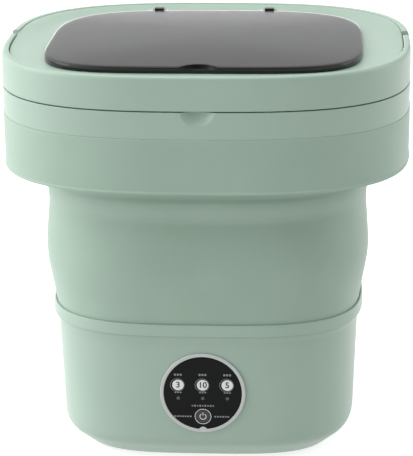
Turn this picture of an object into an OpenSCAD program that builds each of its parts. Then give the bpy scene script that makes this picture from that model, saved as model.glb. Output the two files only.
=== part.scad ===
// Folding portable mini washer, open and ready for use.
// Frame: +Z up, front panel towards -Y, origin on the floor under the middle of the base.

/* [Overall] */
// Width of the wide collar
collar_w = 300; // [280:1:360]
// Depth of the wide collar
collar_d = 262; // [245:1:315]
// Height of the rim above the floor, with the soft wall pulled up
open_h = 303.5; // [286:0.5:364]

/* [Base] */
// Width of the base wall at its top edge
base_w = 227; // [215:1:240]
// Depth of the base wall at its top edge
base_d = 201; // [192:1:212]
// Height of the base wall's top edge above the floor
base_h = 103; // [96:1:124]
// Wall thickness of the moulded shells
wall = 2.6; // [2.1:0.1:3.2]
// Inward lean of the base wall for each millimetre down
base_draft = 0.0385; // [0.02:0.0005:0.05]
// Height of the chamfer round the bottom edge
chamfer_h = 17; // [14:1:20]
// How far the chamfer comes in at the bottom
chamfer_in = 19; // [15:0.5:22]
// Height of the rubber feet
foot_h = 3; // [2.5:0.1:3.6]
// Radius of the rubber feet
foot_r = 7; // [5.5:0.1:8.5]

/* [Clamp ring] */
// How far the ring stands out from the base wall
ring_out = 3.5; // [2.8:0.1:4.2]
// Height of the ring above the base wall's top edge
ring_up = 10; // [9:0.5:12]
// Height of the ring's straight face
ring_face = 10; // [8:0.5:12]

/* [Soft wall] */
// Thickness of the soft wall
soft_t = 2.4; // [2:0.1:2.9]
// How far the middle of the soft wall bulges out past its foot
bulge = 5.8; // [3:0.1:7]
// Height of the sloping shoulder under the collar
shoulder_h = 17.5; // [14.5:0.5:21]
// How far the neck under the shoulder stands out past the soft wall's foot
neck_out = 4.5; // [3:0.1:6]

/* [Collar] */
// Height of the wide band, from its lower edge to the parting line
band_h = 38; // [32:0.5:45]
// Height of the carry handle's bow
bow_h = 24.7; // [21:0.1:29]
// Thickness of the carry handle's bow
bow_t = 5; // [4.2:0.1:6]
// Radius of the handle pivot pins
pivot_r = 3; // [2.5:0.1:3.6]
// How far behind the middle the handle pivots lie
pivot_y = 8; // [6.7:0.1:9.6]
// Width of the finger scallop below the handle
scallop_w = 25; // [21:0.5:30]

/* [Lid] */
// Thickness of the lid plate
lid_t = 3.2; // [2.7:0.1:3.8]
// Depth of the skirt below the lid plate
lid_skirt = 9; // [7.5:0.5:11]
// How far the window's sides lie inside the lid's edge
window_side = 30.4; // [25:0.1:37]
// How far the window's front edge lies inside the lid's edge
window_front = 11.4; // [9.5:0.1:14]
// How far the window's rear edge lies inside the lid's edge
window_rear = 40.4; // [36:0.1:49]
// Height of the window flap's edge
window_h = 5; // [4.5:0.1:6]
// Thickness of the window
window_t = 2.4; // [2:0.1:2.9]
// Width of the lid plate's sill that the window rests on
sill = 10; // [8:0.5:12]
// Radius of the finger notch in the window's front edge
notch_r = 14; // [11.5:0.5:17]
// Distance of each window hinge from the middle
hinge_x = 43; // [36:1:52]
// Width of a hinge knuckle
hinge_w = 7; // [5.8:0.1:8.4]
// Radius of a hinge pin
hinge_pin_r = 1.2; // [1:0.05:1.4]

/* [Control panel] */
// Radius of the black lens
lens_r = 28.6; // [23.8:0.1:34.4]
// Width of the bezel ring round the lens
bezel_w = 2.7; // [2.2:0.1:3.3]
// Distance of the panel's middle below the base wall's top edge
panel_drop = 43.5; // [40:0.5:44]
// Radius of the start button
button_r = 5.2; // [4.3:0.1:6.2]
// Travel of the start button
button_travel = 0.6; // [0.5:0.05:0.7]

/* [Tub and drain] */
// Thickness of the tub's floor
pan_floor_t = 2.5; // [2:0.1:3]
// Radius of the drain pipe
pipe_r = 8; // [6.7:0.1:9.6]
// Wall thickness of the drain pipe
pipe_t = 2; // [1.6:0.1:2.4]
// How far the drain spout stands out of the rear wall
spout_out = 16; // [13:0.5:20]
// Gap between the drain basket and the base wall
basket_gap = 20.5; // [17:0.5:24]
// Height of the drain basket
basket_h = 80; // [67:1:90]
// Gap between the pulsator and the tub's wall
pulsator_gap = 11.5; // [9.5:0.5:14]

/* [Drive] */
// Module of the gear teeth
gear_module = 1; // [0.85:0.05:1.2]
// Teeth on the large gear
gear_teeth = 60; // [50:1:72]
// Teeth on the pinion
pinion_teeth = 15; // [14:1:18]
// Width of the large gear
gear_t = 6; // [5:0.1:7]
// Radius of the pulsator shaft
shaft_r = 4; // [3.4:0.1:4.8]
// Outer radius of the ball bearings
bearing_r = 11; // [9.5:0.1:13]
// Width of a ball bearing
bearing_t = 7; // [5.8:0.1:8.4]
// Distance between the two ball bearings
bearing_gap = 3.5; // [2.9:0.1:5]
// Radius of the motor can
motor_r = 17.5; // [15:0.1:19]
// Length of the motor can
motor_l = 28; // [23.3:0.1:33.6]
// Radius of the motor shaft
motor_shaft_r = 1.58; // [1.4:0.02:1.9]

/* [Hidden] */
$fn = 64;

// Clearances, by what they separate.
slip = 0.05;          // a turning shaft in its bore, on radius
press = 0.1;          // pieces fixed to each other
seam = 0.3;           // moulded pieces that meet at a visible seam
part_gap = 0.6;       // pieces that move past each other
eps = 0.01;           // overshoot of a cut past a face

// Steps round a superellipse plan.
plan_steps = 60;
square_n = 2.9;       // squareness of the collar's plan
base_n = 3.3;         // squareness of the base's plan
bottom_n = 3.6;       // squareness of the base's bottom edge

// A superellipse plan: |x/a|^n + |y/b|^n = 1, front and rear halves may differ in squareness.
function plan(a, b, n, n_front) = [
    for (i = [0 : plan_steps - 1])
        let (
            t = 360 * (i + 0.5) / plan_steps,
            m = (sin(t) < 0 && !is_undef(n_front)) ? n_front : n
        )
        [a * sign(cos(t)) * pow(abs(cos(t)), 2 / m), b * sign(sin(t)) * pow(abs(sin(t)), 2 / m)]
];

// A flat-sided ring between two plans of the same squareness.
module plan_ring(a, b, t, n, z0, z1) {
    translate([0, 0, z0])
        linear_extrude(z1 - z0)
            difference() {
                polygon(plan(a, b, n));
                polygon(plan(a - t, b - t, n));
            }
}

module plan_block(a, b, n, z0, z1) {
    translate([0, 0, z0])
        linear_extrude(z1 - z0)
            polygon(plan(a, b, n));
}

// A closed skin through rings [half width, half depth, squareness, height], joined last to first.
module ring_loft(rings) {
    count = len(rings);
    points = [
        for (r = rings)
            for (p = plan(r[0], r[1], r[2]))
                [p[0], p[1], r[3]]
    ];
    faces = [
        for (k = [0 : count - 1], i = [0 : plan_steps - 1])
            let (
                j = (i + 1) % plan_steps,
                here = k * plan_steps,
                next = ((k + 1) % count) * plan_steps
            )
            each [[here + i, next + i, next + j], [here + i, next + j, here + j]]
    ];
    polyhedron(points, faces, convexity = 10);
}

module tube(r_out, r_in, h) {
    difference() {
        cylinder(r = r_out, h = h);
        translate([0, 0, -eps])
            cylinder(r = r_in, h = h + 2 * eps);
    }
}

module at_corners(x, y) {
    for (sx = [-1, 1], sy = [-1, 1])
        translate([sx * x, sy * y, 0])
            children();
}

module rounded_plate(x0, x1, y0, y1, r, h) {
    linear_extrude(h)
        union() {
            translate([x0 + r, y0])
                square([x1 - x0 - 2 * r, y1 - y0]);
            translate([x0, y0 + r])
                square([x1 - x0, y1 - y0 - 2 * r]);
            for (x = [x0 + r, x1 - r], y = [y0 + r, y1 - r])
                translate([x, y])
                    circle(r = r);
        }
}

// A pan-head screw, head down, its head's seat at z = 0.
module screw(r, l, head_r, head_h) {
    cylinder(r = r, h = l);
    translate([0, 0, -head_h])
        difference() {
            cylinder(r = head_r, h = head_h);
            translate([0, 0, -eps])
                cylinder(r = head_r / 2, h = head_h / 2, $fn = 6);
        }
}

// Base wall: half width and half depth at a height, leaning in towards the floor.
function base_a(z) = base_w / 2 - base_draft * (base_h - z);
function base_b(z) = base_d / 2 - base_draft * (base_h - z);
bottom_z = foot_h;
chamfer_z = bottom_z + chamfer_h;
cover_t = 2.4;
cover_edge = 2.2;
ledge_in = 8;
ledge_t = 2.4;
bottom_a = base_a(chamfer_z) - chamfer_in;
bottom_b = base_b(chamfer_z) - chamfer_in + 0.5;
round_h = 8;          // the chamfer blends into the wall over this height
foot_x = bottom_a - 30;
foot_y = bottom_b - 27;
foot_stud_r = 2.5;
vent_l = 16;
vent_w = 2.5;
vent_pitch = 7;

// Clamp ring and what it holds.
ring_top = base_h + ring_up;
ring_a = base_w / 2 + ring_out;
ring_b = base_d / 2 + ring_out - 0.5;
ring_face_z = ring_top - ring_face;
ring_low_z = ring_face_z - ring_out * 1.8;
flange_t = 2.4;
gasket_t = 1.6;
wall_foot_z = base_h + flange_t + gasket_t + press;
foot_a = base_w / 2 + 1.2;
foot_b = base_d / 2 + 0.8;

// Collar levels.
half_w = collar_w / 2;
half_d = collar_d / 2;
bow_drop = 0.5;        // the bow's top lies this far below the rim's
under_bow = 19.5;      // height of the rim's face below the bow
bow_low_z = open_h - bow_h - bow_drop;
parting_z = bow_low_z - under_bow;
band_low_z = parting_z - band_h;
wall_top_z = band_low_z - seam;
neck_z = wall_top_z - shoulder_h;
neck_a = foot_a + neck_out;
neck_b = foot_b + neck_out - 0.6;
rim_wall_t = 3.3;
rim_in_a = half_w - bow_t - seam;
rim_in_b = half_d - bow_t - seam;
lid_drop = 2;          // the lid's top lies this far below the rim's
lid_z = open_h - lid_drop - lid_t;
lid_a = rim_in_a - seam;
lid_b = rim_in_b - seam;
skirt_t = 2.2;
skirt_a = rim_in_a - rim_wall_t - part_gap - 1;
skirt_b = rim_in_b - rim_wall_t - part_gap - 1;
gasket_h = 4;
pocket_t = 2.8;
tongue_h = 10;
pivot_z = bow_low_z + seam + bow_h / 2;
pivot_depth = 3.5;
scallop_r = 24;
beyond = 5;            // cuts through the collar start this far outside it

// Tub pan, inside the base.
pan_low_a = base_w / 2 - 30;
pan_low_b = base_d / 2 - 29;
pan_top_a = base_w / 2 - 9.5;
pan_top_b = base_d / 2 - 8.5;
pan_corner = 4;

// Screws, and the drive between the bottom cover and the pan.
screw_r = 1.45;
screw_l = 12;
screw_head_r = 3;
screw_head_h = 1.8;
screw_hole_r = 1.5;
screw_hole_l = 14;
cover_head_h = 1;      // the cover's screw heads are flat and sit in a seat
cover_seat = 1.2;
can_screw_r = 2.8;
gear_r = gear_module * gear_teeth / 2;
pinion_r = gear_module * pinion_teeth / 2;
motor_y = gear_r + pinion_r;
bracket_post_r = 4.5;
bracket_x = gear_r + 6;
bracket_front = -gear_r * 0.66;
bracket_rear = motor_y + 13;
bracket_t = 2.5;
bracket_edge = 7;      // the plate reaches this far past its screws
cap_t = 1.6;
motor_low_z = bottom_z + cover_t + 3 + cap_t;
bracket_under_z = motor_low_z + motor_l;
bracket_top_z = bracket_under_z + bracket_t;
can_t = 1;
magnet_t = 3;
motor_boss_r = motor_shaft_r + 2.4;
motor_screw_x = motor_r - 5;
gear_hub = 1;          // the gear's hub stands this far out of its faces
gear_z = bracket_top_z + gear_hub + 1.5;
housing_low_z = gear_z + gear_t + gear_hub + 0.5;
lower_bearing_z = housing_low_z + 0.5;
upper_bearing_z = lower_bearing_z + bearing_t + bearing_gap;
pan_under_z = upper_bearing_z + bearing_t + 1;
tub_floor_z = pan_under_z + pan_floor_t;
housing_r = bearing_r + 4;
bearing_lip = 2;
seal_r = shaft_r + 4;
boss_r = seal_r + 4;
boss_top_z = tub_floor_z + 4;
shaft_run_r = shaft_r - slip;

// Gear teeth.
pressure = 20;         // pressure angle
backlash = 0.3;
tip_share = 0.9;       // tooth height outside and inside the pitch circle, in modules
root_share = 1.25;

// Drain, beside the bracket's rear post and clear of the pan's corner. The cover's posts stand beside it.
pipe_in_r = pipe_r - pipe_t;
grate_r = pipe_in_r + 2.4;
drain_in = 5.19;       // from the floor's outline at the grate's side in to the drain's middle
floor_a = pan_low_a - pan_corner - 1;
floor_b = pan_low_b - pan_corner - 1;
drain_x = bracket_x + bracket_post_r + pipe_r + 3;
drain_y = floor_b * pow(1 - pow((drain_x + grate_r) / floor_a, base_n), 1 / base_n) - drain_in;
pipe_z = pan_under_z - pipe_r - 9;
spout_deep = 8;        // the spout reaches this far inside the wall
grate_t = 1.4;
cover_post_r = 5;
post_off = (pipe_r + cover_post_r + 2.6) * sqrt(0.5);
cover_post = [drain_x + post_off, drain_y - post_off];
spout_wall_y = base_b(pipe_z) * pow(1 - pow(drain_x / base_a(pipe_z), base_n), 1 / base_n);
spout_flange_r = pipe_r + 4;
spout_flange_t = 1.6;
pad_out = 2.4;         // flat pads on the curved wall stand out this far
spout_y = spout_wall_y + pad_out;
plug_r = pipe_in_r - press;
plug_l = 10;
plug_knob_l = 6;

// Turning group above the tub's floor.
pulsator_z = boss_top_z + 1.8;
pulsator_r = pan_low_b - pulsator_gap;
hub_r = shaft_r + 9;
hub_top_z = pulsator_z + 14;
spigot_r = shaft_r + 3;
basket_r = base_d / 2 - basket_gap;
basket_t = 2;
basket_floor_t = 2.4;
nut_z = hub_top_z + basket_floor_t;
nut_r = shaft_r + 8;
nut_h = 14;
wing_t = 5;
wing_out = 4;
slot_rows = 3;
slot_turns = 12;
shaft_low_z = bracket_top_z + part_gap;
shaft_top_z = nut_z + 8;

// Control panel, on the leaning front wall.
panel_z = base_h - panel_drop;
panel_y = base_b(panel_z);
panel_lean = atan(base_draft);
panel_r = lens_r + bezel_w;
bezel_out = 1.2;
bezel_back = 0.15;     // a gap as fine as this lies between the bezel and the wall
panel_face = bezel_out + bezel_back;
sleeve_r = lens_r + 1;
sleeve_in_r = sleeve_r - 2.3;
board_depth = 8;
board_t = 1.6;
board_r = sleeve_r - 1;
lens_t = 1.3;
lens_sunk = 0.1;
lens_gap = 0.25;       // round the start button
lamp_r = 1.5;
lamp_x = lens_r - 10.6;
lamp_drop = 4.7;
button_drop = lens_r - 10.1;
button_back = 2.4;
stem_r = 1.6;
stem_l = 1;
switch_w = 6;
switch_h = 3.2;
boss_x = sleeve_in_r - 2.6;
boss_screw_r = 1;

// Power inlet, at the rear left.
inlet_x = -(pan_low_a - 40);
inlet_z = chamfer_z + 16;
inlet_wall_y = base_b(inlet_z) * pow(1 - pow(-inlet_x / base_a(inlet_z), base_n), 1 / base_n);
inlet_r = 5;
inlet_bore_r = 2.75;
inlet_l = 13;
inlet_flange = 2.5;
inlet_flange_t = 1.4;

// Window flap.
window_a = lid_a - window_side;
window_b = lid_b - (window_front + window_rear) / 2;
window_y = (window_front - window_rear) / 2;
window_n_rear = 3.35;
window_n_front = 4.6;
window_z = lid_z + lid_t + seam;
notch_deep = 9;
knuckle_r = 2.6;
knuckle_back = 5;      // the hinges' axis lies this far behind the window
hinge_y = window_y + window_b + knuckle_back;
hinge_z = window_z + knuckle_r + 0.2;
ear_t = 3;

module panel_place() {
    translate([0, -panel_y, panel_z])
        rotate([90 + panel_lean, 0, 0])
            children();
}

module window_place(z) {
    translate([0, window_y, z])
        children();
}

// ---- Base ----

module base_shell() {
    color("#9fb5a6")
        difference() {
            union() {
                base_wall();
                wall_pad(drain_x, spout_wall_y, pipe_z, spout_flange_r + 1);
                wall_pad(inlet_x, inlet_wall_y, inlet_z, inlet_r + 3.5);
            }
            panel_place()
                through_hole(sleeve_r + press);
            translate([drain_x, spout_wall_y, pipe_z])
                rotate([-90, 0, 0])
                    through_hole(pipe_r + press);
            translate([inlet_x, inlet_wall_y, inlet_z])
                rotate([-90, 0, 0])
                    through_hole(inlet_r + press);
        }
}

// A hole through the base wall, along the outward normal.
module through_hole(r) {
    depth = 5 * wall;
    translate([0, 0, -depth])
        cylinder(r = r, h = 2 * depth);
}

// A round boss through the rear wall whose outer face is flat.
module wall_pad(x, wall_y, z, r) {
    translate([x, wall_y - wall - 2, z])
        rotate([-90, 0, 0])
            cylinder(r = r, h = wall + 2 + pad_out);
}

// The bottom edge rolls into the chamfer, and the chamfer into the wall.
module base_wall() {
    above_z = chamfer_z + round_h;
    ring_loft([
        [bottom_a, bottom_b, bottom_n, bottom_z],
        [bottom_a + chamfer_in * 0.34, bottom_b + chamfer_in * 0.29, 3.5, bottom_z + chamfer_h * 0.2],
        [bottom_a + chamfer_in * 0.75, bottom_b + chamfer_in * 0.71, 3.4, bottom_z + chamfer_h * 0.6],
        [base_a(chamfer_z) - 1, base_b(chamfer_z) - 1, base_n, chamfer_z],
        [base_a(above_z), base_b(above_z), base_n, above_z],
        [base_w / 2, base_d / 2, base_n, base_h],
        [base_w / 2 - wall, base_d / 2 - wall, base_n, base_h],
        [base_a(above_z) - wall, base_b(above_z) - wall, base_n, above_z],
        [base_a(chamfer_z) - wall - 1.6, base_b(chamfer_z) - wall - 1.6, base_n, chamfer_z],
        [bottom_a + 1.5, bottom_b + 1.2, bottom_n, bottom_z + cover_t + ledge_t + 1],
        [bottom_a - ledge_in, bottom_b - ledge_in, bottom_n, bottom_z + cover_t + ledge_t],
        [bottom_a - ledge_in, bottom_b - ledge_in, bottom_n, bottom_z + cover_t],
        [bottom_a - cover_edge, bottom_b - cover_edge, bottom_n, bottom_z + cover_t],
        [bottom_a - cover_edge, bottom_b - cover_edge, bottom_n, bottom_z]
    ]);
}

module bottom_cover() {
    inset = cover_edge + press;
    color("#8ea596")
        difference() {
            plan_block(bottom_a - inset, bottom_b - inset, bottom_n, bottom_z, bottom_z + cover_t);
            translate([0, 0, bottom_z - eps]) {
                at_corners(cover_post[0], cover_post[1])
                    cylinder(r = screw_hole_r + 2 * press, h = cover_t + 2 * eps);
                at_corners(cover_post[0], cover_post[1])
                    cylinder(r = screw_head_r + seam, h = cover_seat + eps);
                at_corners(foot_x, foot_y)
                    cylinder(r = foot_stud_r, h = cover_t + 2 * eps);
                for (k = [-3 : 3])
                    translate([k * vent_pitch - vent_w / 2, bracket_front - 2, 0])
                        cube([vent_w, vent_l, cover_t + 2 * eps]);
            }
        }
}

module feet() {
    color("#3a3d3b")
        at_corners(foot_x, foot_y)
            union() {
                cylinder(r = foot_r, h = foot_h);
                cylinder(r = foot_stud_r, h = bottom_z + cover_t);
            }
}

module cover_screws() {
    color("silver")
        at_corners(cover_post[0], cover_post[1])
            translate([0, 0, bottom_z + cover_seat])
                screw(screw_r, screw_l, screw_head_r, cover_head_h);
}

module post(z0, z1, r) {
    translate([0, 0, z0])
        cylinder(r = r, h = z1 - z0);
}

module post_hole(z0) {
    translate([0, 0, z0 - eps])
        cylinder(r = screw_hole_r, h = screw_hole_l);
}

module tub_pan() {
    color("#8ea596")
        difference() {
            union() {
                ring_loft([
                    [pan_low_a - pan_corner, pan_low_b - pan_corner, base_n, pan_under_z],
                    [pan_low_a + 2, pan_low_b + 2, base_n, pan_under_z + pan_corner],
                    [pan_top_a + 1, pan_top_b + 1, base_n, base_h - 3],
                    [base_w / 2 - wall - press, base_d / 2 - wall - press, base_n, base_h + press],
                    [base_w / 2 - press, base_d / 2 - press, base_n, base_h + press],
                    [base_w / 2 - press, base_d / 2 - press, base_n, base_h + flange_t],
                    [pan_top_a + 2, pan_top_b + 2, base_n, base_h + flange_t],
                    [pan_top_a - 1.6, pan_top_b - 1.6, base_n, base_h - 3],
                    [pan_low_a - 0.4, pan_low_b - 0.4, base_n, tub_floor_z + pan_corner],
                    [floor_a, floor_b, base_n, tub_floor_z]
                ]);
                plan_block(floor_a + 0.5, floor_b + 0.5, base_n, pan_under_z, tub_floor_z);
                post(tub_floor_z - 1, boss_top_z, boss_r);
                at_corners(cover_post[0], cover_post[1])
                    post(bottom_z + cover_t, tub_floor_z - 1, cover_post_r);
                at_bracket()
                    post(bracket_top_z, tub_floor_z - 1, bracket_post_r);
            }
            post(pan_under_z - 1, boss_top_z + 1, seal_r);
            translate([drain_x, drain_y, 0])
                post(pan_under_z - 1, tub_floor_z + 1, pipe_in_r);
            at_corners(cover_post[0], cover_post[1])
                post_hole(bottom_z + cover_t);
            at_bracket()
                post_hole(bracket_top_z);
        }
}

module at_bracket() {
    for (x = [-bracket_x, bracket_x], y = [bracket_front, bracket_rear])
        translate([x, y, 0])
            children();
}

module wall_gasket() {
    color("#4a4d4b")
        plan_ring(
            base_w / 2 - press, base_d / 2 - press, 4, base_n,
            base_h + flange_t, base_h + flange_t + gasket_t
        );
}

module clamp_ring() {
    seat_a = base_w / 2 + press;
    seat_b = base_d / 2 + press;
    color("#9db3a4")
        ring_loft([
            [seat_a, seat_b, base_n, ring_low_z],
            [seat_a + 0.6, seat_b + 0.4, base_n, ring_low_z],
            [ring_a, ring_b, base_n, ring_face_z],
            [ring_a, ring_b, base_n, ring_top - 0.6],
            [ring_a - 0.6, ring_b - 0.6, base_n, ring_top],
            [foot_a + seam, foot_b + seam, base_n, ring_top],
            [foot_a + seam, foot_b + seam, base_n, wall_foot_z],
            [seat_a, seat_b, base_n, wall_foot_z - press]
        ]);
}

// Rings of the soft wall's outer face; the inner face lies soft_t inside.
function soft_rings(inset) = let (rise = neck_z - ring_top) [
    [foot_a - inset, foot_b - inset, base_n, wall_foot_z],
    [foot_a - inset, foot_b - inset, base_n, ring_top],
    [foot_a + bulge * 0.35 - inset, foot_b + bulge * 0.33 - inset, 3.2, ring_top + rise * 0.15],
    [foot_a + bulge * 0.9 - inset, foot_b + bulge * 0.88 - inset, 3.1, ring_top + rise * 0.35],
    [foot_a + bulge - inset, foot_b + bulge * 0.97 - inset, 3.0, ring_top + rise * 0.5],
    [neck_a - inset, neck_b - inset, square_n, ring_top + rise * 0.8],
    [neck_a - inset, neck_b - inset, square_n, neck_z],
    [half_w - 0.4 - inset, half_d - 0.4 - inset, square_n, wall_top_z]
];

module folding_wall() {
    inner = soft_rings(soft_t);
    color("#98ae9f")
        ring_loft(concat(soft_rings(0), [for (i = [len(inner) - 1 : -1 : 0]) inner[i]]));
}

// ---- Drive ----

module motor_bracket() {
    low_z = bracket_under_z - eps;
    high_z = bracket_top_z + eps;
    color("#c9ccca")
        difference() {
            translate([0, 0, bracket_under_z])
                rounded_plate(
                    -bracket_x - bracket_edge, bracket_x + bracket_edge,
                    bracket_front - bracket_edge, bracket_rear + bracket_edge, bracket_edge - 1, bracket_t
                );
            at_bracket()
                post(low_z, high_z, screw_hole_r + press);
            translate([0, motor_y, 0])
                post(low_z, high_z, motor_boss_r + press);
            at_motor_screws()
                post(low_z, high_z, screw_hole_r + press);
            post(low_z, high_z, shaft_r + 6);
        }
}

module at_motor_screws() {
    for (x = [-motor_screw_x, motor_screw_x])
        translate([x, motor_y, 0])
            children();
}

module bracket_screws() {
    color("silver")
        at_bracket()
            translate([0, 0, bracket_under_z])
                screw(screw_r, screw_l, screw_head_r, screw_head_h);
}

module motor_can() {
    color("#b9bcc0")
        difference() {
            translate([0, motor_y, 0])
                difference() {
                    union() {
                        post(motor_low_z, bracket_under_z, motor_r);
                        post(bracket_under_z - eps, bracket_top_z - 0.5, motor_boss_r);
                    }
                    post(motor_low_z - 1, bracket_under_z - 2 * can_t, motor_r - can_t);
                    post(motor_low_z, bracket_top_z + 1, motor_shaft_r + slip);
                }
            at_motor_screws()
                post(bracket_under_z - 3 * can_t, bracket_under_z + 1, screw_hole_r);
        }
}

module motor_end_cap() {
    color("#2e3032")
        translate([0, motor_y, 0])
            difference() {
                union() {
                    post(motor_low_z - cap_t, motor_low_z, motor_r);
                    post(motor_low_z - eps, motor_low_z + 2, motor_r - can_t - press);
                }
                post(motor_low_z - 0.4, motor_low_z + 3, motor_shaft_r + slip);
            }
}

module motor_magnets() {
    color("#55585c")
        translate([0, motor_y, motor_low_z + 3])
            difference() {
                tube(motor_r - can_t - slip, motor_r - can_t - magnet_t, motor_l - 9);
                translate([-2.5, -motor_r, -1])
                    cube([5, 2 * motor_r, motor_l]);
            }
}

module motor_screws() {
    color("silver")
        at_motor_screws()
            translate([0, 0, bracket_top_z])
                rotate([180, 0, 0])
                    screw(screw_r, bracket_t + 1.6, can_screw_r, screw_head_h);
}

module bearing_housing() {
    color("#7d8f84")
        difference() {
            post(housing_low_z, pan_under_z, housing_r);
            post(housing_low_z - 1, lower_bearing_z + bearing_t, bearing_r);
            post(upper_bearing_z, pan_under_z + 1, bearing_r);
            post(housing_low_z, pan_under_z, bearing_r - bearing_lip);
        }
}

module ball_bearing(z) {
    groove = 0.4;
    race_t = 2;
    color("#c4c7ca")
        translate([0, 0, z])
            difference() {
                tube(bearing_r, shaft_r, bearing_t);
                for (z = [-eps, bearing_t - groove])
                    translate([0, 0, z])
                        tube(bearing_r - race_t, shaft_r + race_t, groove + eps);
            }
}

module upper_bearing() ball_bearing(upper_bearing_z);
module lower_bearing() ball_bearing(lower_bearing_z);

module shaft_seal() {
    color("#2b2b2b")
        translate([0, 0, pan_under_z])
            tube(seal_r, shaft_r, boss_top_z - pan_under_z - 0.5);
}

// Half-angle of a tooth at radius r: it narrows outwards along an involute of the base circle.
function involute(angle) = tan(angle) * 180 / PI - angle;
function tooth_half(r, teeth) =
    let (
        pitch_r = gear_module * teeth / 2,
        base_r = pitch_r * cos(pressure),
        reach = max(r, base_r)
    )
    90 / teeth - backlash * 90 / PI / pitch_r / 2 + involute(pressure) - involute(acos(base_r / reach));

module gear_plan(teeth) {
    pitch_r = gear_module * teeth / 2;
    root_r = pitch_r - root_share * gear_module;
    tip_r = pitch_r + tip_share * gear_module;
    start_r = max(root_r + eps, pitch_r * cos(pressure));
    flank = [root_r, start_r, pitch_r, (pitch_r + tip_r) / 2, tip_r];
    last = len(flank) - 1;
    polygon([
        for (i = [0 : teeth - 1], side = [-1, 1], k = [0 : last])
            let (
                r = flank[side < 0 ? k : last - k],
                angle = 360 * i / teeth + side * tooth_half(r, teeth)
            )
            [r * cos(angle), r * sin(angle)]
    ]);
}

module drive_gear() {
    rim = 4;
    recess = 1.5;
    color("#d9d6c8")
        difference() {
            union() {
                translate([0, 0, gear_z])
                    rotate([0, 0, 90])
                        linear_extrude(gear_t)
                            gear_plan(gear_teeth);
                post(gear_z - gear_hub, gear_z + gear_t + gear_hub, shaft_r + 4);
            }
            post(gear_z - 2 * gear_hub, gear_z + gear_t + 2 * gear_hub, shaft_run_r);
            for (z = [gear_z - gear_hub - eps, gear_z + gear_t - recess])
                translate([0, 0, z])
                    tube(gear_r - rim, shaft_r + 4.5, gear_hub + recess + eps);
        }
}

module pulsator_shaft() {
    color("#c9ccd0")
        post(shaft_low_z, shaft_top_z, shaft_run_r);
}

module motor_shaft() {
    color("#c9ccd0")
        translate([0, motor_y, 0])
            post(motor_low_z, gear_z + gear_t + 0.5, motor_shaft_r);
}

module rotor_core() {
    core_r = motor_r - can_t - magnet_t - part_gap;
    color("#6b5346")
        translate([0, motor_y, motor_low_z + 4])
            difference() {
                cylinder(r = core_r, h = motor_l - 11);
                translate([0, 0, -eps])
                    cylinder(r = motor_shaft_r, h = motor_l);
                for (i = [0 : 4])
                    rotate([0, 0, 72 * i])
                        translate([core_r - 4, -1, -eps])
                            cube([5, 2, motor_l]);
            }
}

module pinion() {
    color("#d2cfc0")
        translate([0, motor_y, gear_z - 0.5])
            difference() {
                rotate([0, 0, -90 + 180 / pinion_teeth])
                    linear_extrude(gear_t + 1)
                        gear_plan(pinion_teeth);
                translate([0, 0, -eps])
                    cylinder(r = motor_shaft_r, h = gear_t + 2);
            }
}

// ---- Turning group in the tub ----

module pulsator() {
    fin_t = 6;
    fin_h = 8;
    fin_root = hub_r - 2;
    color("#eef0ec")
        difference() {
            union() {
                translate([0, 0, pulsator_z])
                    rotate_extrude()
                        polygon([
                            [shaft_run_r, 0], [pulsator_r, 0], [pulsator_r, 3], [pulsator_r - 2, 4.5],
                            [hub_r + 16, 5.5], [hub_r, 10], [hub_r, hub_top_z - pulsator_z],
                            [shaft_run_r, hub_top_z - pulsator_z]
                        ]);
                for (i = [0 : 5])
                    rotate([0, 0, 60 * i])
                        translate([fin_root, -fin_t / 2, pulsator_z + 2])
                            cube([pulsator_r - fin_root - 4, fin_t, fin_h]);
                post(hub_top_z - eps, nut_z + 1, spigot_r);
            }
            post(pulsator_z - 1, nut_z + 2, shaft_run_r);
        }
}

module drain_basket() {
    slot_w = 5;
    turn = 360 / slot_turns;
    row_h = (basket_h - 20) / slot_rows;
    bead_h = 4;
    color("#f1f3ef")
        difference() {
            union() {
                post(hub_top_z, hub_top_z + basket_floor_t, basket_r);
                translate([0, 0, hub_top_z])
                    tube(basket_r, basket_r - basket_t, basket_h);
                translate([0, 0, hub_top_z + basket_h - bead_h])
                    tube(basket_r + 1.5, basket_r - basket_t - 1, bead_h);
            }
            post(hub_top_z - 1, nut_z + 1, spigot_r + press);
            for (i = [0 : slot_turns - 1], row = [0 : slot_rows - 1])
                rotate([0, 0, turn * (i + 0.5 * (row % 2))])
                    translate([basket_r - 3 * basket_t, -slot_w / 2, hub_top_z + 8 + row * row_h])
                        cube([6 * basket_t, slot_w, row_h - 6]);
            for (i = [0 : slot_turns - 1])
                rotate([0, 0, turn * i])
                    translate([basket_r * 0.45, -slot_w * 0.4, hub_top_z - 1])
                        cube([basket_r * 0.4, slot_w * 0.8, basket_floor_t + 2]);
        }
}

module basket_nut() {
    color("#9fb5a6")
        difference() {
            union() {
                post(nut_z, nut_z + nut_h, nut_r);
                translate([-nut_r - wing_out, -wing_t / 2, nut_z])
                    cube([2 * (nut_r + wing_out), wing_t, nut_h - 3]);
            }
            post(nut_z - 1, shaft_top_z + 1, shaft_run_r);
            post(nut_z - 1, nut_z + 1 + press, spigot_r + press);
        }
}

// ---- Drain ----

module drain_grate() {
    slot_w = 1.2;
    slot_l = 2 * (pipe_in_r - 1.5);
    color("#e6e9e4")
        translate([drain_x, drain_y, tub_floor_z])
            difference() {
                cylinder(r = grate_r, h = grate_t);
                for (i = [-2 : 2])
                    translate([(2 * i - 0.5) * slot_w, -slot_l / 2, -eps])
                        cube([slot_w, slot_l, grate_t + 2 * eps]);
            }
}

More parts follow.
